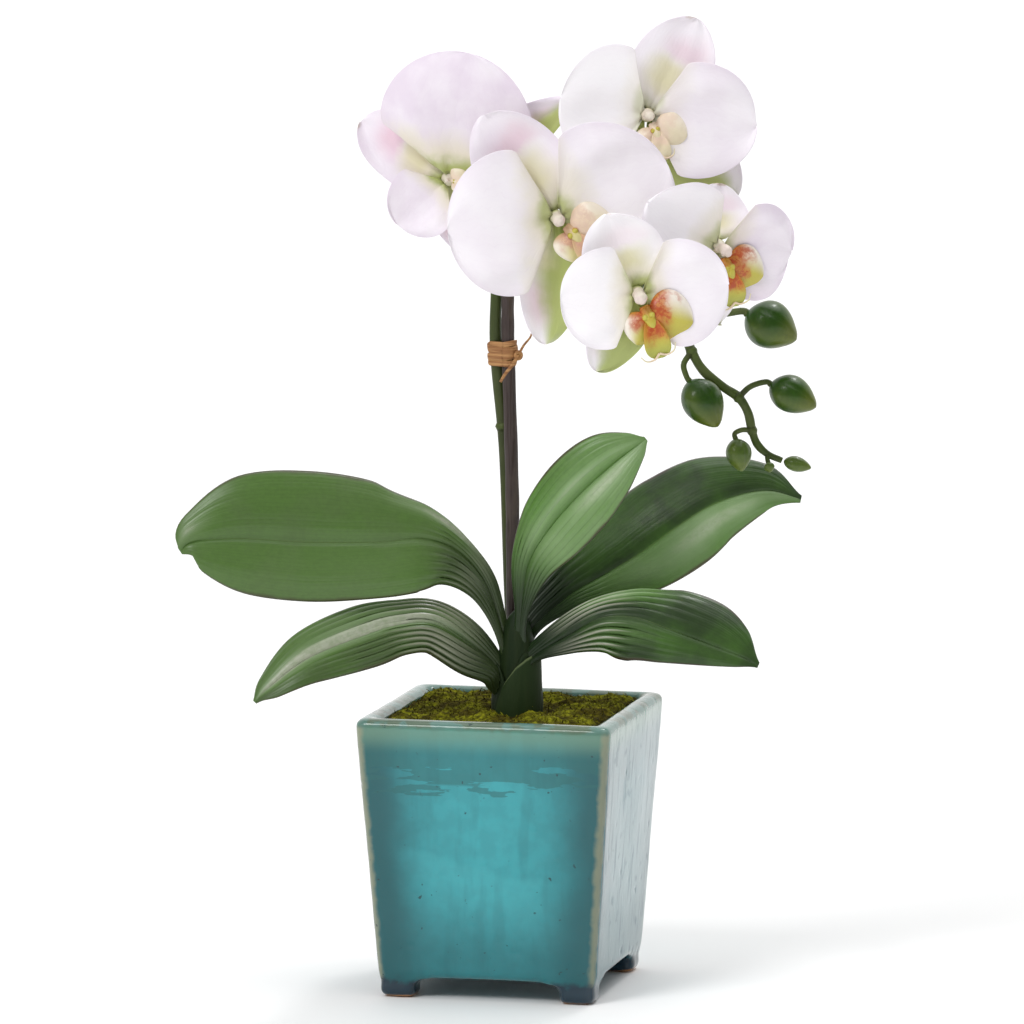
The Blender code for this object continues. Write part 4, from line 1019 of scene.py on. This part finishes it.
def moss_height(x, y):
    """Height of the moss at a place on the bed."""
    relief = sizes().moss_relief / MM
    p = Vector((x, y, 0.0))
    cushions = noise.noise(p * 0.075) + 0.55 * noise.noise(p * 0.19 + Vector((9.0, 2.0, 0.0)))
    cushions += 0.30 * noise.noise(p * 0.45) + 0.20 * noise.noise(p * 1.1)
    edge = max(abs(x), abs(y)) / inner_half(MOSS_TOP)
    return MOSS_TOP + 0.6 + relief * cushions - 2.0 * smooth_step(edge, 0.9, 1.0)


def build_moss():
    """One bed of uneven cushions that fills the pot's mouth, with shoots on it."""
    half = inner_half(MOSS_TOP) - 0.2
    n = MOSS_CELLS
    shape = Shape("height")
    for i in range(n + 1):
        for j in range(n + 1):
            x, y = half * (2 * i / n - 1), half * (2 * j / n - 1)
            z = moss_height(x, y)
            shape.point(Vector((x, y, z)), height=(z - MOSS_TOP + 2.0) / 5.0)
    base = len(shape.verts)
    rim = [j for j in range(n + 1)] + [i * (n + 1) + n for i in range(1, n + 1)]
    rim += [n * (n + 1) + j for j in range(n - 1, -1, -1)] + [i * (n + 1) for i in range(n - 1, 0, -1)]
    for k in rim:
        p = shape.verts[k]
        shape.point(Vector((p.x, p.y, MOSS_TOP - 12.0)), height=0.0)
    for i in range(n):
        for j in range(n):
            shape.faces.append((i * (n + 1) + j, i * (n + 1) + j + 1, (i + 1) * (n + 1) + j + 1,
                                (i + 1) * (n + 1) + j))
    m = len(rim)
    for k in range(m):
        shape.faces.append((rim[k], base + k, base + (k + 1) % m, rim[(k + 1) % m]))
    shape.faces.append(tuple(base + k for k in range(m)))
    sprigs(shape, half)
    return shape.lay("moss_bed", moss_material(), ["moss"], plant=False)


def sprigs(shape, half):
    """Short bent moss shoots over the whole bed, clear of the stems."""
    noise.seed_set(SPRIG_SEED)
    golden = math.pi * (3 - math.sqrt(5))
    for k in range(MOSS_SPRIGS):
        r = math.sqrt((k + 0.5) / MOSS_SPRIGS) * half * 1.42
        x, y = r * math.cos(k * golden), r * math.sin(k * golden)
        if max(abs(x), abs(y)) > half - 0.8 or stems_at(x, y) < 0.8:
            continue
        wild = noise.noise_vector(Vector((x * 0.9, y * 0.9, 3.0)))
        height = 1.6 + 1.6 * abs(wild.x)
        foot = Vector((x, y, moss_height(x, y) - 0.5))
        bend = Vector((wild.y * 3.2, wild.z * 3.2, height * 0.7))
        path = [foot, foot + bend * 0.5 + Vector((0, 0, height * 0.25)),
                foot + bend * 1.1 + Vector((0, 0, height * 0.2))]
        shape.tube(path, lambda t: 0.42 * (1.0 - 0.75 * t), 4, height=0.45 + 0.6 * abs(wild.z))


# ---------------------------------------------------------------- leaves, crown, stems

def leaf_grid(spec, nu, nv, seed):
    """Grid of blade points, with folds along the base, and how far each point is up a fold's crest."""
    mid = spline(spec["mid"], nu + 1)
    fold_height = sizes().leaf_fold / MM
    fold_size, fold_reach = spec["fold"]
    grid, crests = [], []
    for i, p in enumerate(mid):
        s = i / nu
        t = (mid[min(i + 1, nu)] - mid[max(i - 1, 0)]).normalized()
        away = Vector((0.0, 1.0, 0.0))
        away = (away - t * away.dot(t)).normalized()
        rise = t.cross(away)
        if rise.z < 0:
            rise = -rise
        fold = fold_height * fold_size * smooth_step(s, 0.04, 0.2) * (1.0
                                                                      - smooth_step(s, fold_reach * 0.5,
                                                                                    fold_reach))
        fold = max(fold, 0.06)
        line, marks = [], []
        for j in range(nv + 1):
            v = 2 * j / nv - 1
            key = smooth_step(v, -0.12, 0.12)
            half = max(along(spec["up" if v > 0 else "low"], s), 1.0)
            tilt = math.radians(along(spec["low_tilt"], s) * (1 - key) + along(spec["up_tilt"], s) * key)
            d = away * math.cos(tilt) + rise * math.sin(tilt)
            normal = rise * math.cos(tilt) - away * math.sin(tilt)
            w = abs(v)
            lane = w * 5.5 + 0.15 * math.sin(s * 5.0 + seed)
            ridge = math.cos(2 * math.pi * lane) * min(1.0, w * 5.0)
            lift = half * 0.32 * (w - w * w) + fold * ridge * min(1.0, half / 14.0)
            lift -= 0.9 * math.exp(-(v / 0.07) ** 2) * min(1.0, half / 10.0)
            lift += 0.7 * math.sin(s * 14.0 + seed + (2.0 if v > 0 else 0.0)) * w ** 4 * min(1.0,
                                                                                             half / 12.0)
            line.append(p + d * half * v + normal * lift)
            marks.append(math.copysign(ridge * ridge, ridge) * fold / fold_height)
        grid.append(line)
        crests.append(marks)
    return grid, crests


def build_leaves():
    """Five strap leaves, each with its folds, shade and shine."""
    material = leaf_material()
    thickness = sizes().leaf_thickness / MM
    for seed, (name, spec) in enumerate(LEAVES.items()):
        grid, crests = leaf_grid(spec, LEAF_ROWS, LEAF_LANES, seed * 1.7)
        shape = Shape("along", "across", "face", "crest", "painted_light_and_shade", "sheen")
        shape.blade(grid, thickness)
        for k, (s, v) in enumerate(zip(shape.fields["along"], shape.fields["across"])):
            shape.fields["crest"][k] = crests[round(s * LEAF_ROWS)][round((v + 1) / 2 * LEAF_LANES)]
            # painted shade of each side and patch, painted highlight below 0; past full paleness the rest
            # is painted sheen
            part = smooth_step(v, -0.06, 0.06)
            shade = spec["painted_light_and_shade"][0] * part + spec["painted_light_and_shade"][1] * (1.0 - part)
            for s_at, v_at, s_reach, v_reach, strength in spec["patches"]:
                shade += strength * math.exp(-((s - s_at) / s_reach) ** 2 - ((v - v_at) / v_reach) ** 2)
            shape.fields["painted_light_and_shade"][k] = min(max(shade, -1.0), 0.95)
            shape.fields["sheen"][k] = min(max(-shade - 1.0, 0.0), 1.0)
        shape.lay(name + "_blade", material, [name])


def sheath_grid(rows, lanes, place):
    """Grid of points round the crown; place gives angle, height, radius, flatness at 0..1 up and round."""
    grid = []
    for i in range(rows + 1):
        line = []
        for j in range(lanes + 1):
            turn, z, radius, flat = place(i / rows, j / lanes)
            a = math.radians(turn)
            line.append(Vector((CROWN_AT[0] + radius * math.cos(a), CROWN_AT[1]
                                + flat * radius * math.sin(a), z)))
        grid.append(line)
    return grid


def build_crown():
    """Flattened core, leaf bases that wrap it, and one broad sheath in front."""
    shape = Shape("along", "across", "front")
    radii = [r for z, r in CROWN_RINGS]
    low, high = CROWN_RINGS[0][0], CROWN_RINGS[-1][0]
    core = spline([(*CROWN_AT, z) for z, r in CROWN_RINGS], 40)
    shape.tube(core, radii, 28, squash=CROWN_FLAT)
    for middle, tall in SHEATHS:
        def wrapped(up, round_it, middle=middle, tall=tall):
            z = SHEATH_FOOT + tall * up
            radius = along(radii, (z - low) / (high - low)) + 0.6 + 1.2 * up
            spread = 75.0 * (1.0 - up) ** 0.6 + 5.0
            return middle + spread * (2 * round_it - 1), z, radius, CROWN_FLAT
        shape.blade(sheath_grid(14, 12, wrapped), 1.4)
    first, last = SHEATH_EDGE[0][0], SHEATH_EDGE[-1][0]

    def in_front(up, round_it):
        turn = first + (last - first) * round_it
        z = SHEATH_FOOT + (lerp_table(SHEATH_EDGE, turn) - SHEATH_FOOT) * up
        return turn, z, 11.8 + 0.5 * math.sin(math.pi * up), 0.84
    shape.blade(sheath_grid(24, 36, in_front), 1.3, front=1.0)
    return shape.lay("crown_sheaths", crown_material(), ["crown"])


def spike_at(place):
    """Point on the spike at a place counted in control points from its foot."""
    fine = spline(SPIKE_PATH, (len(SPIKE_PATH) - 1) * 10 + 1)
    return fine[round(place * 10)]


def build_spike():
    """Arching spike with thickened joints, the buds' stalks and the blooms' stalks."""
    shape = Shape("along")
    shape.tube(spline(SPIKE_PATH, 150),
               lambda t: lerp_table(SPIKE_R, t) * (1.0 + 0.05 * math.sin(t * 90.0)), 14)
    for place in SPIKE_JOINTS:
        at = spike_at(place)
        ahead = (spike_at(place + 0.3) - spike_at(place - 0.3)).normalized()
        r = lerp_table(SPIKE_R, place / (len(SPIKE_PATH) - 1))
        shape.turned([at + ahead * step for step in (-2.2, -0.9, 0.0, 0.8, 1.8)],
                     [r * swell for swell in (1.0, 1.14, 1.26, 1.16, 1.0)], 14)
    for _, start, tip, r, root, bend, width in BUDS:
        if root is not None:
            axis = (Vector(tip) - Vector(start)).normalized()
            end = Vector(start)
            path = spline((spike_at(root), bend, end - axis * 2.5, end + axis * 0.6), 18)
            shape.tube(path, lambda t, w=width: w * (1.0 - 0.1 * t + 0.6 * max(t - 0.75, 0.0)), 12)
    for key, spec in FLOWERS.items():
        out = bloom_axes(spec)[2]
        end = Vector(spec["at"]) - out * 5.6
        root, bend = PEDICELS[key]
        path = spline((spike_at(root), bend, end - out * 6.0, end), 24)
        shape.tube(path, lambda t: 1.7 + 0.6 * t, 12)
    return shape.lay("spike_and_stalks", stem_material(), ["flower_spike"])


def build_stake():
    """Cane stake with a slight swell along it."""
    shape = Shape()
    shape.tube(spline(STAKE_PATH, 90),
               lambda t: STAKE_R * (1.12 - 0.2 * t) * (1.0 + 0.025 * math.sin(t * 60.0)), 20)
    return shape.lay("cane_stake", cane_material(), ["stake"])


def build_tie():
    """Raffia wound several turns round cane and spike, knotted, with two loose ends."""
    shape = Shape()
    stake_at, spike_near = Vector(STAKE_PATH[4]), Vector(SPIKE_PATH[4])
    axis = spike_near - stake_at
    base = math.atan2(axis.y, axis.x)

    def hoop(turn, z, grow):
        pts = []
        for centre, radius, start in ((stake_at, STAKE_R * 1.05, base + math.pi / 2),
                                      (spike_near, 3.0, base - math.pi / 2)):
            for k in range(9):
                a = start + math.pi * k / 8
                r = radius + grow
                lean = 0.9 * math.sin(a + turn)
                pts.append(Vector((centre.x + r * math.cos(a), centre.y + r * math.sin(a), z + lean)))
        return pts + pts[:1]
    for k, (z, grow, half) in enumerate(TIE_STRIPS):
        shape.tube(spline(hoop(k * 2.1, z, grow), 70), lambda t, h=half: h, 10, squash=0.22,
                   wide=Vector((0.12 * (-1) ** k, 0.05, 1.0)))
    knot = Vector(KNOT_AT)
    for turn in (0.0, 1.3, 2.4):
        loop = [knot + Vector((1.5 * math.cos(a), 0.9 * math.sin(a + turn), 1.7 * math.sin(a)))
                for a in [2 * math.pi * k / 12 for k in range(13)]]
        shape.tube(loop, lambda t: 0.8, 8)
    for steps, thick, taper in TIE_ENDS:
        path = spline([knot] + [knot + Vector(step) for step in steps], 20)
        shape.tube(path, lambda t, a=thick, b=taper: a - b * t, 8)
    return shape.lay("raffia_wrap", raffia_material(), ["raffia_tie"])


# ---------------------------------------------------------------- blooms and buds

def bloom_axes(spec, angle=0.0):
    """Three axes of a bloom: along an angle round its face, across that, and outward from the face."""
    yaw, pitch = (math.radians(a) for a in spec["face"])
    out = Vector((math.sin(yaw) * math.cos(pitch), -math.cos(yaw) * math.cos(pitch), math.sin(pitch)))
    right = Vector((math.cos(yaw), math.sin(yaw), 0.0))
    up = right.cross(out) * -1.0
    a = math.radians(angle)
    return right * math.cos(a) + up * math.sin(a), up * math.cos(a) - right * math.sin(a), out


def width_shape(s, petal):
    """Relative half width of a tepal along its length."""
    if petal:
        q = min(s, 1.0) ** 0.86
        body = 2.0 * math.sqrt(q * (1.0 - q))
        return body * min(1.0, 0.25 + 2.6 * s) + 0.10 * (1 - s) ** 4
    q = min(s, 1.0) ** 0.88
    body = (4.0 * q * (1.0 - q)) ** 0.56
    return body * min(1.0, 0.35 + 2.0 * s) + 0.16 * (1 - s) ** 3


def tepal_rows(nu):
    """Places along a tepal, closer together towards its round end."""
    return [1.0 - (1.0 - i / nu) ** 2.3 for i in range(nu + 1)]


def lobe_rows(nu):
    """Places along a lip lobe, closer together at both ends."""
    return [0.5 - 0.5 * math.cos(math.pi * i / nu) for i in range(nu + 1)]


def tepal_grid(spec, part, nu, nv, seed):
    """Grid of a petal's or sepal's points: cupped, rippled, with a groove and, on petals, a soft crease."""
    angle, length, width, lean, bend, cup = spec[part]
    petal = part.startswith("petal")
    ripple = sizes().petal_ripple / MM
    ahead, side, out = bloom_axes(spec, angle)
    p = Vector(spec["at"]) + ahead * (TEPAL_START - 2.5) + out * (PETAL_FRONT if petal else SEPAL_BACK)
    grid = []
    last = 0.0
    for s in tepal_rows(nu):
        phi = math.radians(lean + bend * s)
        p = p + (ahead * math.cos(phi) + out * math.sin(phi)) * ((length - TEPAL_START + 2.5) * (s - last))
        last = s
        lift = out * math.cos(phi) - ahead * math.sin(phi)
        shape = max(width_shape(s, petal), 0.03)
        half = width / 2 * shape
        line = []
        for j in range(nv + 1):
            v = math.sin(math.pi / 2 * (2 * j / nv - 1))
            wave = ripple * math.sin(7.0 * s + seed + 1.7 * v) * abs(v) ** 3 * smooth_step(s, 0.1, 0.5)
            wave += 0.8 * ripple * noise.noise(Vector((v * 1.6 + seed, s * 2.2, seed)))
            groove = -0.9 * math.exp(-(v / 0.16) ** 2) * (1.0 - s) * (1.0 if petal else 1.4)
            crease = 2.8 * math.exp(-((v - 0.45 - 0.3 * s) / 0.22) ** 2) * smooth_step(s, 0.15, 0.5)
            groove += crease * (1.0 - smooth_step(s, 0.6, 0.95)) if petal else 0.0
            line.append(p + side * half * v + lift * (cup * shape * (v * v - 0.15) + wave + groove))
        grid.append(line)
    return grid


def build_tepals():
    """Petals and sepals of all blooms, one piece each."""
    petal = tepal_material("Petal", False, False)
    dorsal = tepal_material("Upper sepal", True, False)
    lower = tepal_material("Lower sepal", True, True)
    kinds = {"dorsal": ("sepal", dorsal), "sepal_l": ("sepal", lower), "sepal_r": ("sepal", lower)}
    thickness = sizes().petal_thickness / MM
    for number, (key, spec) in enumerate(FLOWERS.items()):
        for k, part in enumerate(TEPALS):
            shape = Shape("along", "across", "inner", "tint", "lime", "blush")
            inner = {"sepal_l": 1.0, "sepal_r": -1.0}.get(part, 0.0)
            grid = tepal_grid(spec, part, TEPAL_ROWS, TEPAL_LANES, number * 2.3 + k)
            shape.blade(grid, thickness, tepal_rows(TEPAL_ROWS), inner=inner,
                        tint=spec["tints"].get(part, spec["tint"]), lime=spec["lime"], blush=spec["blush"])
            kind, material = kinds.get(part, ("petal", petal))
            node = "flower_%s_%s" % (key, part)
            shape.lay(node + "_bloom", material, [node])


def build_columns():
    """Column of each bloom, with its cap and hollow."""
    material = column_material()
    for key, spec in FLOWERS.items():
        down, _, out = bloom_axes(spec, spec["down"])
        k = COLUMN_SCALE * spec["size"]
        c = Vector(spec["at"])
        shape = Shape("along", "hollow")
        path = spline((c - out * 6.0, c - out * 3.0, c + out * 1.0 * k, c + (out * 5.0 - down * 0.4) * k,
                       c + (out * 9.0 - down * 0.2) * k, c + (out * 12.0 + down * 1.2) * k,
                       c + (out * 13.6 + down * 3.0) * k), 31)
        shape.tube(path, (2.6, 3.4, 3.4, 3.0 * k, 3.7 * k, 3.9 * k, 1.4 * k), 20)
        cap = c + (out * 13.0 + down * 1.4) * k
        shape.turned([cap + (out * z + down * 0.3 * z) * k for z in (-2.0, -1.2, 0.0, 1.2, 1.9, 2.2)],
                     [r * k for r in (0.6, 2.0, 2.7, 2.4, 1.4, 0.4)], 16)
        hollow = c + (out * 9.0 + down * 3.3) * k
        shape.turned([hollow + down * z * k for z in (-0.8, -0.2, 0.3, 0.5)],
                     [r * k for r in (0.8, 1.7, 1.5, 0.6)], 14, hollow=1.0)
        shape.lay("flower_%s_column_bloom" % key, material, ["flower_%s_column" % key])


def lobe_grid(spec, origin, angle, length, width, lean, bend, dome, nu, nv, flare=0.0):
    """Round lobe that grows from the origin, domed towards the viewer; flare widens its outer end."""
    ahead, side, out = bloom_axes(spec, angle)
    p = origin.copy()
    grid = []
    last = 0.0
    for s in lobe_rows(nu):
        phi = math.radians(lean + bend * s)
        p = p + (ahead * math.cos(phi) + out * math.sin(phi)) * (length * (s - last))
        last = s
        normal = out * math.cos(phi) - ahead * math.sin(phi)
        outline = 2.0 * math.sqrt(max(s * (1.0 - s), 0.0)) * (1.0 + flare * (s - 0.5)) + 0.34 * (1.0
                                                                                                 - s) ** 2
        outline = max(outline, 0.04)
        line = []
        for j in range(nv + 1):
            v = math.sin(math.pi / 2 * (2 * j / nv - 1))
            lift = -dome * outline * v * v + 0.3 * math.sin(9 * s + 4 * v) * outline
            line.append(p + side * width / 2 * outline * v + normal * lift)
        grid.append(line)
    return grid


def build_lips():
    """Lip of each bloom: throat, two side lobes, middle lobe, tendrils and callus."""
    material = lip_material()
    for key, spec in FLOWERS.items():
        down, across, out = bloom_axes(spec, spec["down"])
        k = spec["size"]
        right_pale, left_pale = spec["pale"]
        throat = Vector(spec["at"]) + (out * 5.5 + down * 9.2) * k
        shape = Shape("along", "across", "lobe", "shoulder", "pale")
        path = spline((throat - (down * 3.4 + out * 1.0) * k, throat, throat + (down * 5.0 + out * 3.0) * k,
                       throat + (down * 9.0 + out * 4.0) * k), 16)
        shape.tube(path, (2.4 * k, 3.2 * k, 2.8 * k, 1.2 * k), 16, pale=left_pale)
        for side, turn, size, pale in ((1, 54.0, 25.0, right_pale), (-1, -40.0, 18.0, left_pale)):
            first = len(shape.verts)
            grid = lobe_grid(spec, throat, spec["down"] + turn, size * k, size * k, 34.0, -58.0, 4.6 * k,
                             SIDE_LOBE_ROWS, SIDE_LOBE_LANES)
            shape.blade(grid, 0.9, lobe_rows(SIDE_LOBE_ROWS), pale=pale)
            for n in range(first, len(shape.verts)):
                shape.fields["shoulder"][n] = max(0.0, shape.fields["across"][n] * side)
        mouth = throat + (down * 4.0 + out * 3.2) * k
        grid = lobe_grid(spec, mouth, spec["down"] - 8.0, 20.0 * k, 12.0 * k, 26.0, -40.0, -1.2 * k,
                         MIDDLE_LOBE_ROWS, MIDDLE_LOBE_LANES, flare=0.9)
        shape.blade(grid, 1.0, lobe_rows(MIDDLE_LOBE_ROWS), lobe=1.0, pale=left_pale)
        tip = throat + (down * 20.5 + out * 6.6 - across * 2.6) * k
        for side in (-1, 1):
            hook = spline((tip, tip + (across * side * 3.4 + down * 2.0) * k,
                           tip + (across * side * 7.5 + down * 1.0 + out * 1.5) * k,
                           tip + (across * side * 9.5 - down * 2.5 + out * 2.0) * k), 16)
            shape.tube(hook, lambda t: 0.6 - 0.35 * t, 8, lobe=1.0, pale=0.9)
        for side in (-1, 1):
            callus = throat + (out * 3.0 + down * 1.5 + across * 1.7 * side) * k
            shape.turned([callus + out * z * k for z in (-1.5, 0.0, 1.2, 2.0)],
                         [r * k for r in (1.6, 1.9, 1.4, 0.4)], 12)
        shape.lay("flower_%s_lip_bloom" % key, material, ["flower_%s_lip" % key])


def build_buds():
    """Plump buds with three seams and a beak."""
    material = bud_material()
    for name, start, tip, r, *_ in BUDS:
        a, b = Vector(start), Vector(tip)
        axis = (b - a).normalized()
        side = axis.cross(Vector((0.2, 1.0, 0.3))).normalized()
        other = axis.cross(side)
        shape = Shape("along", "crest", "young")
        rings, sides = 40, 48
        young = smooth_step(r, 9.5, 5.0)
        for i in range(rings + 1):
            s = 0.5 - 0.5 * math.cos(math.pi * i / rings)
            q = r * max(math.sin(math.pi * s ** 0.86), 0.0) ** 0.62
            for k in range(sides):
                turn = 2 * math.pi * k / sides
                lobe = abs(math.cos(1.5 * turn + 0.6))
                crest = lobe ** 6 * smooth_step(s, 0.03, 0.25)
                seam = math.exp(-(lobe / 0.14) ** 2) * smooth_step(s, 0.1, 0.4)
                swell = q * (1.0 + 0.05 * crest - 0.07 * seam)
                beak = 0.06 * r * smooth_step(s, 0.85, 1.0)
                p = a + (b - a) * s + (side * math.cos(turn) + other * math.sin(turn)) * max(swell,
                                                                                             0.05 * r)
                shape.point(p + axis * beak, along=s, crest=crest, young=young)
        shape.faces = ring_faces(rings + 1, sides)
        shape.lay("bud_%s_bloom" % name, material, ["bud_" + name])


# ---------------------------------------------------------------- stage

CAMERA_AWAY = 4000.0
CAMERA_RISE = math.radians(7.2)
CAMERA_WIDTH = 501.76
SENSOR = 36.0
FLOOR_HALF = 40.0
LOOK_AT = Vector((0.45, 0.0, 233.7))
AMBIENT = 0.46
ROOM_DARK = 0.12
SCREEN_BRIGHT = 1.2
SUNS = (
    ("Key", (-1.0, -1.15, 1.35), 1.34, 22.0),
    ("Overhead", (0.25, 0.2, 1.5), 1.2, 60.0),
    ("Rim", (0.35, 0.55, 1.1), 0.5, 10.0),
)


def soft_sun(name, come_from, strength, spread):
    """Even light over the whole floor from one side, softened by its spread in degrees."""
    data = bpy.data.lights.new(name, "SUN")
    data.energy = strength
    data.angle = math.radians(spread)
    lamp = bpy.data.objects.new(name, data)
    bpy.context.scene.collection.objects.link(lamp)
    lamp.location = Vector(come_from)
    lamp.rotation_mode = "QUATERNION"
    lamp.rotation_quaternion = (-Vector(come_from)).to_track_quat("-Z", "Y")
    return lamp


def build_stage():
    """Camera, pale floor, even studio room and three soft suns."""
    scene = bpy.context.scene
    turn = Matrix.Rotation(PLANT_TURN, 4, "Z")
    target = POT_CENTRE + turn @ (LOOK_AT * MM)
    back = turn @ Vector((0.0, -math.cos(CAMERA_RISE), math.sin(CAMERA_RISE)))
    data = bpy.data.cameras.new("Camera")
    data.sensor_width = SENSOR
    data.lens = SENSOR * CAMERA_AWAY / CAMERA_WIDTH
    data.clip_end = 100.0
    camera = bpy.data.objects.new("Camera", data)
    scene.collection.objects.link(camera)
    camera.location = target + back * CAMERA_AWAY * MM
    camera.rotation_mode = "QUATERNION"
    camera.rotation_quaternion = (-back).to_track_quat("-Z", "Y")
    scene.camera = camera

    mesh = bpy.data.meshes.new("floor")
    mesh.from_pydata([(x * FLOOR_HALF, y * FLOOR_HALF, 0.0) for x,
                      y in ((-1, -1), (1, -1), (1, 1), (-1, 1))],
                     [], [(0, 1, 2, 3)])
    floor = bpy.data.objects.new("floor", mesh)
    floor.location = (POT_CENTRE.x, POT_CENTRE.y, -0.0002)
    scene.collection.objects.link(floor)
    paint = Finish("Pale floor", 0.7, Specular_IOR_Level=0.2)
    mesh.materials.append(paint.done((0.93, 0.93, 0.93)))

    world = bpy.data.worlds.new("Studio")
    world.use_nodes = True
    light = world.node_tree.nodes["Background"]
    light.inputs["Color"].default_value = (1.0, 1.0, 1.0, 1.0)
    paint = Paint(world.node_tree)
    path = paint.add("ShaderNodeLightPath")
    behind = paint.add("ShaderNodeVectorMath", operation="DOT_PRODUCT")
    paint.feed(behind.inputs[0], paint.add("ShaderNodeTexCoord").outputs["Generated"])
    behind.inputs[1].default_value = turn @ Vector((0.25, 0.95, 0.0))
    screens = paint.plus(ROOM_DARK,
                         paint.times(paint.step(behind.outputs["Value"], -0.1, 0.7), SCREEN_BRIGHT
                                     - ROOM_DARK))
    glossy = paint.times(path.outputs["Is Glossy Ray"], paint.less(screens, AMBIENT))
    plain = paint.times(path.outputs["Is Camera Ray"], 1.0 - AMBIENT)
    paint.feed(light.inputs["Strength"], paint.plus(AMBIENT, paint.plus(glossy, plain)))
    scene.world = world
    for name, come_from, strength, spread in SUNS:
        soft_sun(name, turn @ Vector(come_from), strength, spread)
    scene.view_settings.view_transform = "Standard"
    scene.view_settings.look = "None"


# ---------------------------------------------------------------- operators and panel

class ORCHID_OT_pot(Operator):
    """Make the glazed square pot with its four feet"""
    bl_idname = "orchid.pot"
    bl_label = "Pot"
    bl_options = {"UNDO"}

    def execute(self, context):
        build_pot()
        return {"FINISHED"}


class ORCHID_OT_moss(Operator):
    """Lay the moss bed with its shoots"""
    bl_idname = "orchid.moss"
    bl_label = "Moss"
    bl_options = {"UNDO"}

    def execute(self, context):
        build_moss()
        return {"FINISHED"}


class ORCHID_OT_medium(Operator):
    """Give the bark under the moss its finish"""
    bl_idname = "orchid.medium"
    bl_label = "Growing medium"
    bl_options = {"UNDO"}

    def execute(self, context):
        finish_medium()
        return {"FINISHED"}


class ORCHID_OT_leaves(Operator):
    """Grow the five strap leaves"""
    bl_idname = "orchid.leaves"
    bl_label = "Leaves"
    bl_options = {"UNDO"}

    def execute(self, context):
        build_leaves()
        return {"FINISHED"}


class ORCHID_OT_crown(Operator):
    """Make the crown with its sheaths"""
    bl_idname = "orchid.crown"
    bl_label = "Crown"
    bl_options = {"UNDO"}

    def execute(self, context):
        build_crown()
        return {"FINISHED"}


class ORCHID_OT_spike(Operator):
    """Grow the spike with its stalks"""
    bl_idname = "orchid.spike"
    bl_label = "Spike"
    bl_options = {"UNDO"}

    def execute(self, context):
        build_spike()
        return {"FINISHED"}


class ORCHID_OT_stake(Operator):
    """Set the cane stake"""
    bl_idname = "orchid.stake"
    bl_label = "Stake"
    bl_options = {"UNDO"}

    def execute(self, context):
        build_stake()
        return {"FINISHED"}


class ORCHID_OT_tie(Operator):
    """Wind and knot the raffia"""
    bl_idname = "orchid.tie"
    bl_label = "Tie"
    bl_options = {"UNDO"}

    def execute(self, context):
        build_tie()
        return {"FINISHED"}


class ORCHID_OT_tepals(Operator):
    """Open the petals and sepals of the five blooms"""
    bl_idname = "orchid.tepals"
    bl_label = "Petals and sepals"
    bl_options = {"UNDO"}

    def execute(self, context):
        build_tepals()
        return {"FINISHED"}


class ORCHID_OT_columns(Operator):
    """Shape the columns with their caps"""
    bl_idname = "orchid.columns"
    bl_label = "Columns"
    bl_options = {"UNDO"}

    def execute(self, context):
        build_columns()
        return {"FINISHED"}


class ORCHID_OT_lips(Operator):
    """Shape the lips with their lobes and tendrils"""
    bl_idname = "orchid.lips"
    bl_label = "Lips"
    bl_options = {"UNDO"}

    def execute(self, context):
        build_lips()
        return {"FINISHED"}


class ORCHID_OT_buds(Operator):
    """Swell the six buds"""
    bl_idname = "orchid.buds"
    bl_label = "Buds"
    bl_options = {"UNDO"}

    def execute(self, context):
        build_buds()
        return {"FINISHED"}


class ORCHID_OT_stage(Operator):
    """Set camera, floor and lights"""
    bl_idname = "orchid.stage"
    bl_label = "Stage"
    bl_options = {"UNDO"}

    def execute(self, context):
        build_stage()
        return {"FINISHED"}


STEPS = (
    ORCHID_OT_pot, ORCHID_OT_moss, ORCHID_OT_medium, ORCHID_OT_leaves, ORCHID_OT_crown,
    ORCHID_OT_spike, ORCHID_OT_stake, ORCHID_OT_tie, ORCHID_OT_tepals, ORCHID_OT_columns,
    ORCHID_OT_lips, ORCHID_OT_buds, ORCHID_OT_stage,
)


class ORCHID_PT_panel(Panel):
    """Sidebar list of the orchid's pieces, sizes and colours"""
    bl_idname = "ORCHID_PT_panel"
    bl_label = "Potted Orchid"
    bl_space_type = "VIEW_3D"
    bl_region_type = "UI"
    bl_category = "Orchid"

    def draw(self, context):
        for kind in STEPS:
            self.layout.operator(kind.bl_idname)
        for group in (context.scene.orchid_sizes, context.scene.orchid_colours):
            box = self.layout.box()
            for key in group.__annotations__:
                box.prop(group, key)


CLASSES = (ORCHID_PG_sizes, ORCHID_PG_colours, *STEPS, ORCHID_PT_panel)


def register():
    for kind in CLASSES:
        bpy.utils.register_class(kind)
    bpy.types.Scene.orchid_sizes = PointerProperty(type=ORCHID_PG_sizes)
    bpy.types.Scene.orchid_colours = PointerProperty(type=ORCHID_PG_colours)


def unregister():
    del bpy.types.Scene.orchid_colours
    del bpy.types.Scene.orchid_sizes
    for kind in reversed(CLASSES):
        bpy.utils.unregister_class(kind)


def main():
    """Register the add-on and build every piece in order."""
    register()
    for kind in STEPS:
        getattr(bpy.ops.orchid, kind.bl_idname.split(".")[1])()


if __name__ == "__main__":
    main()
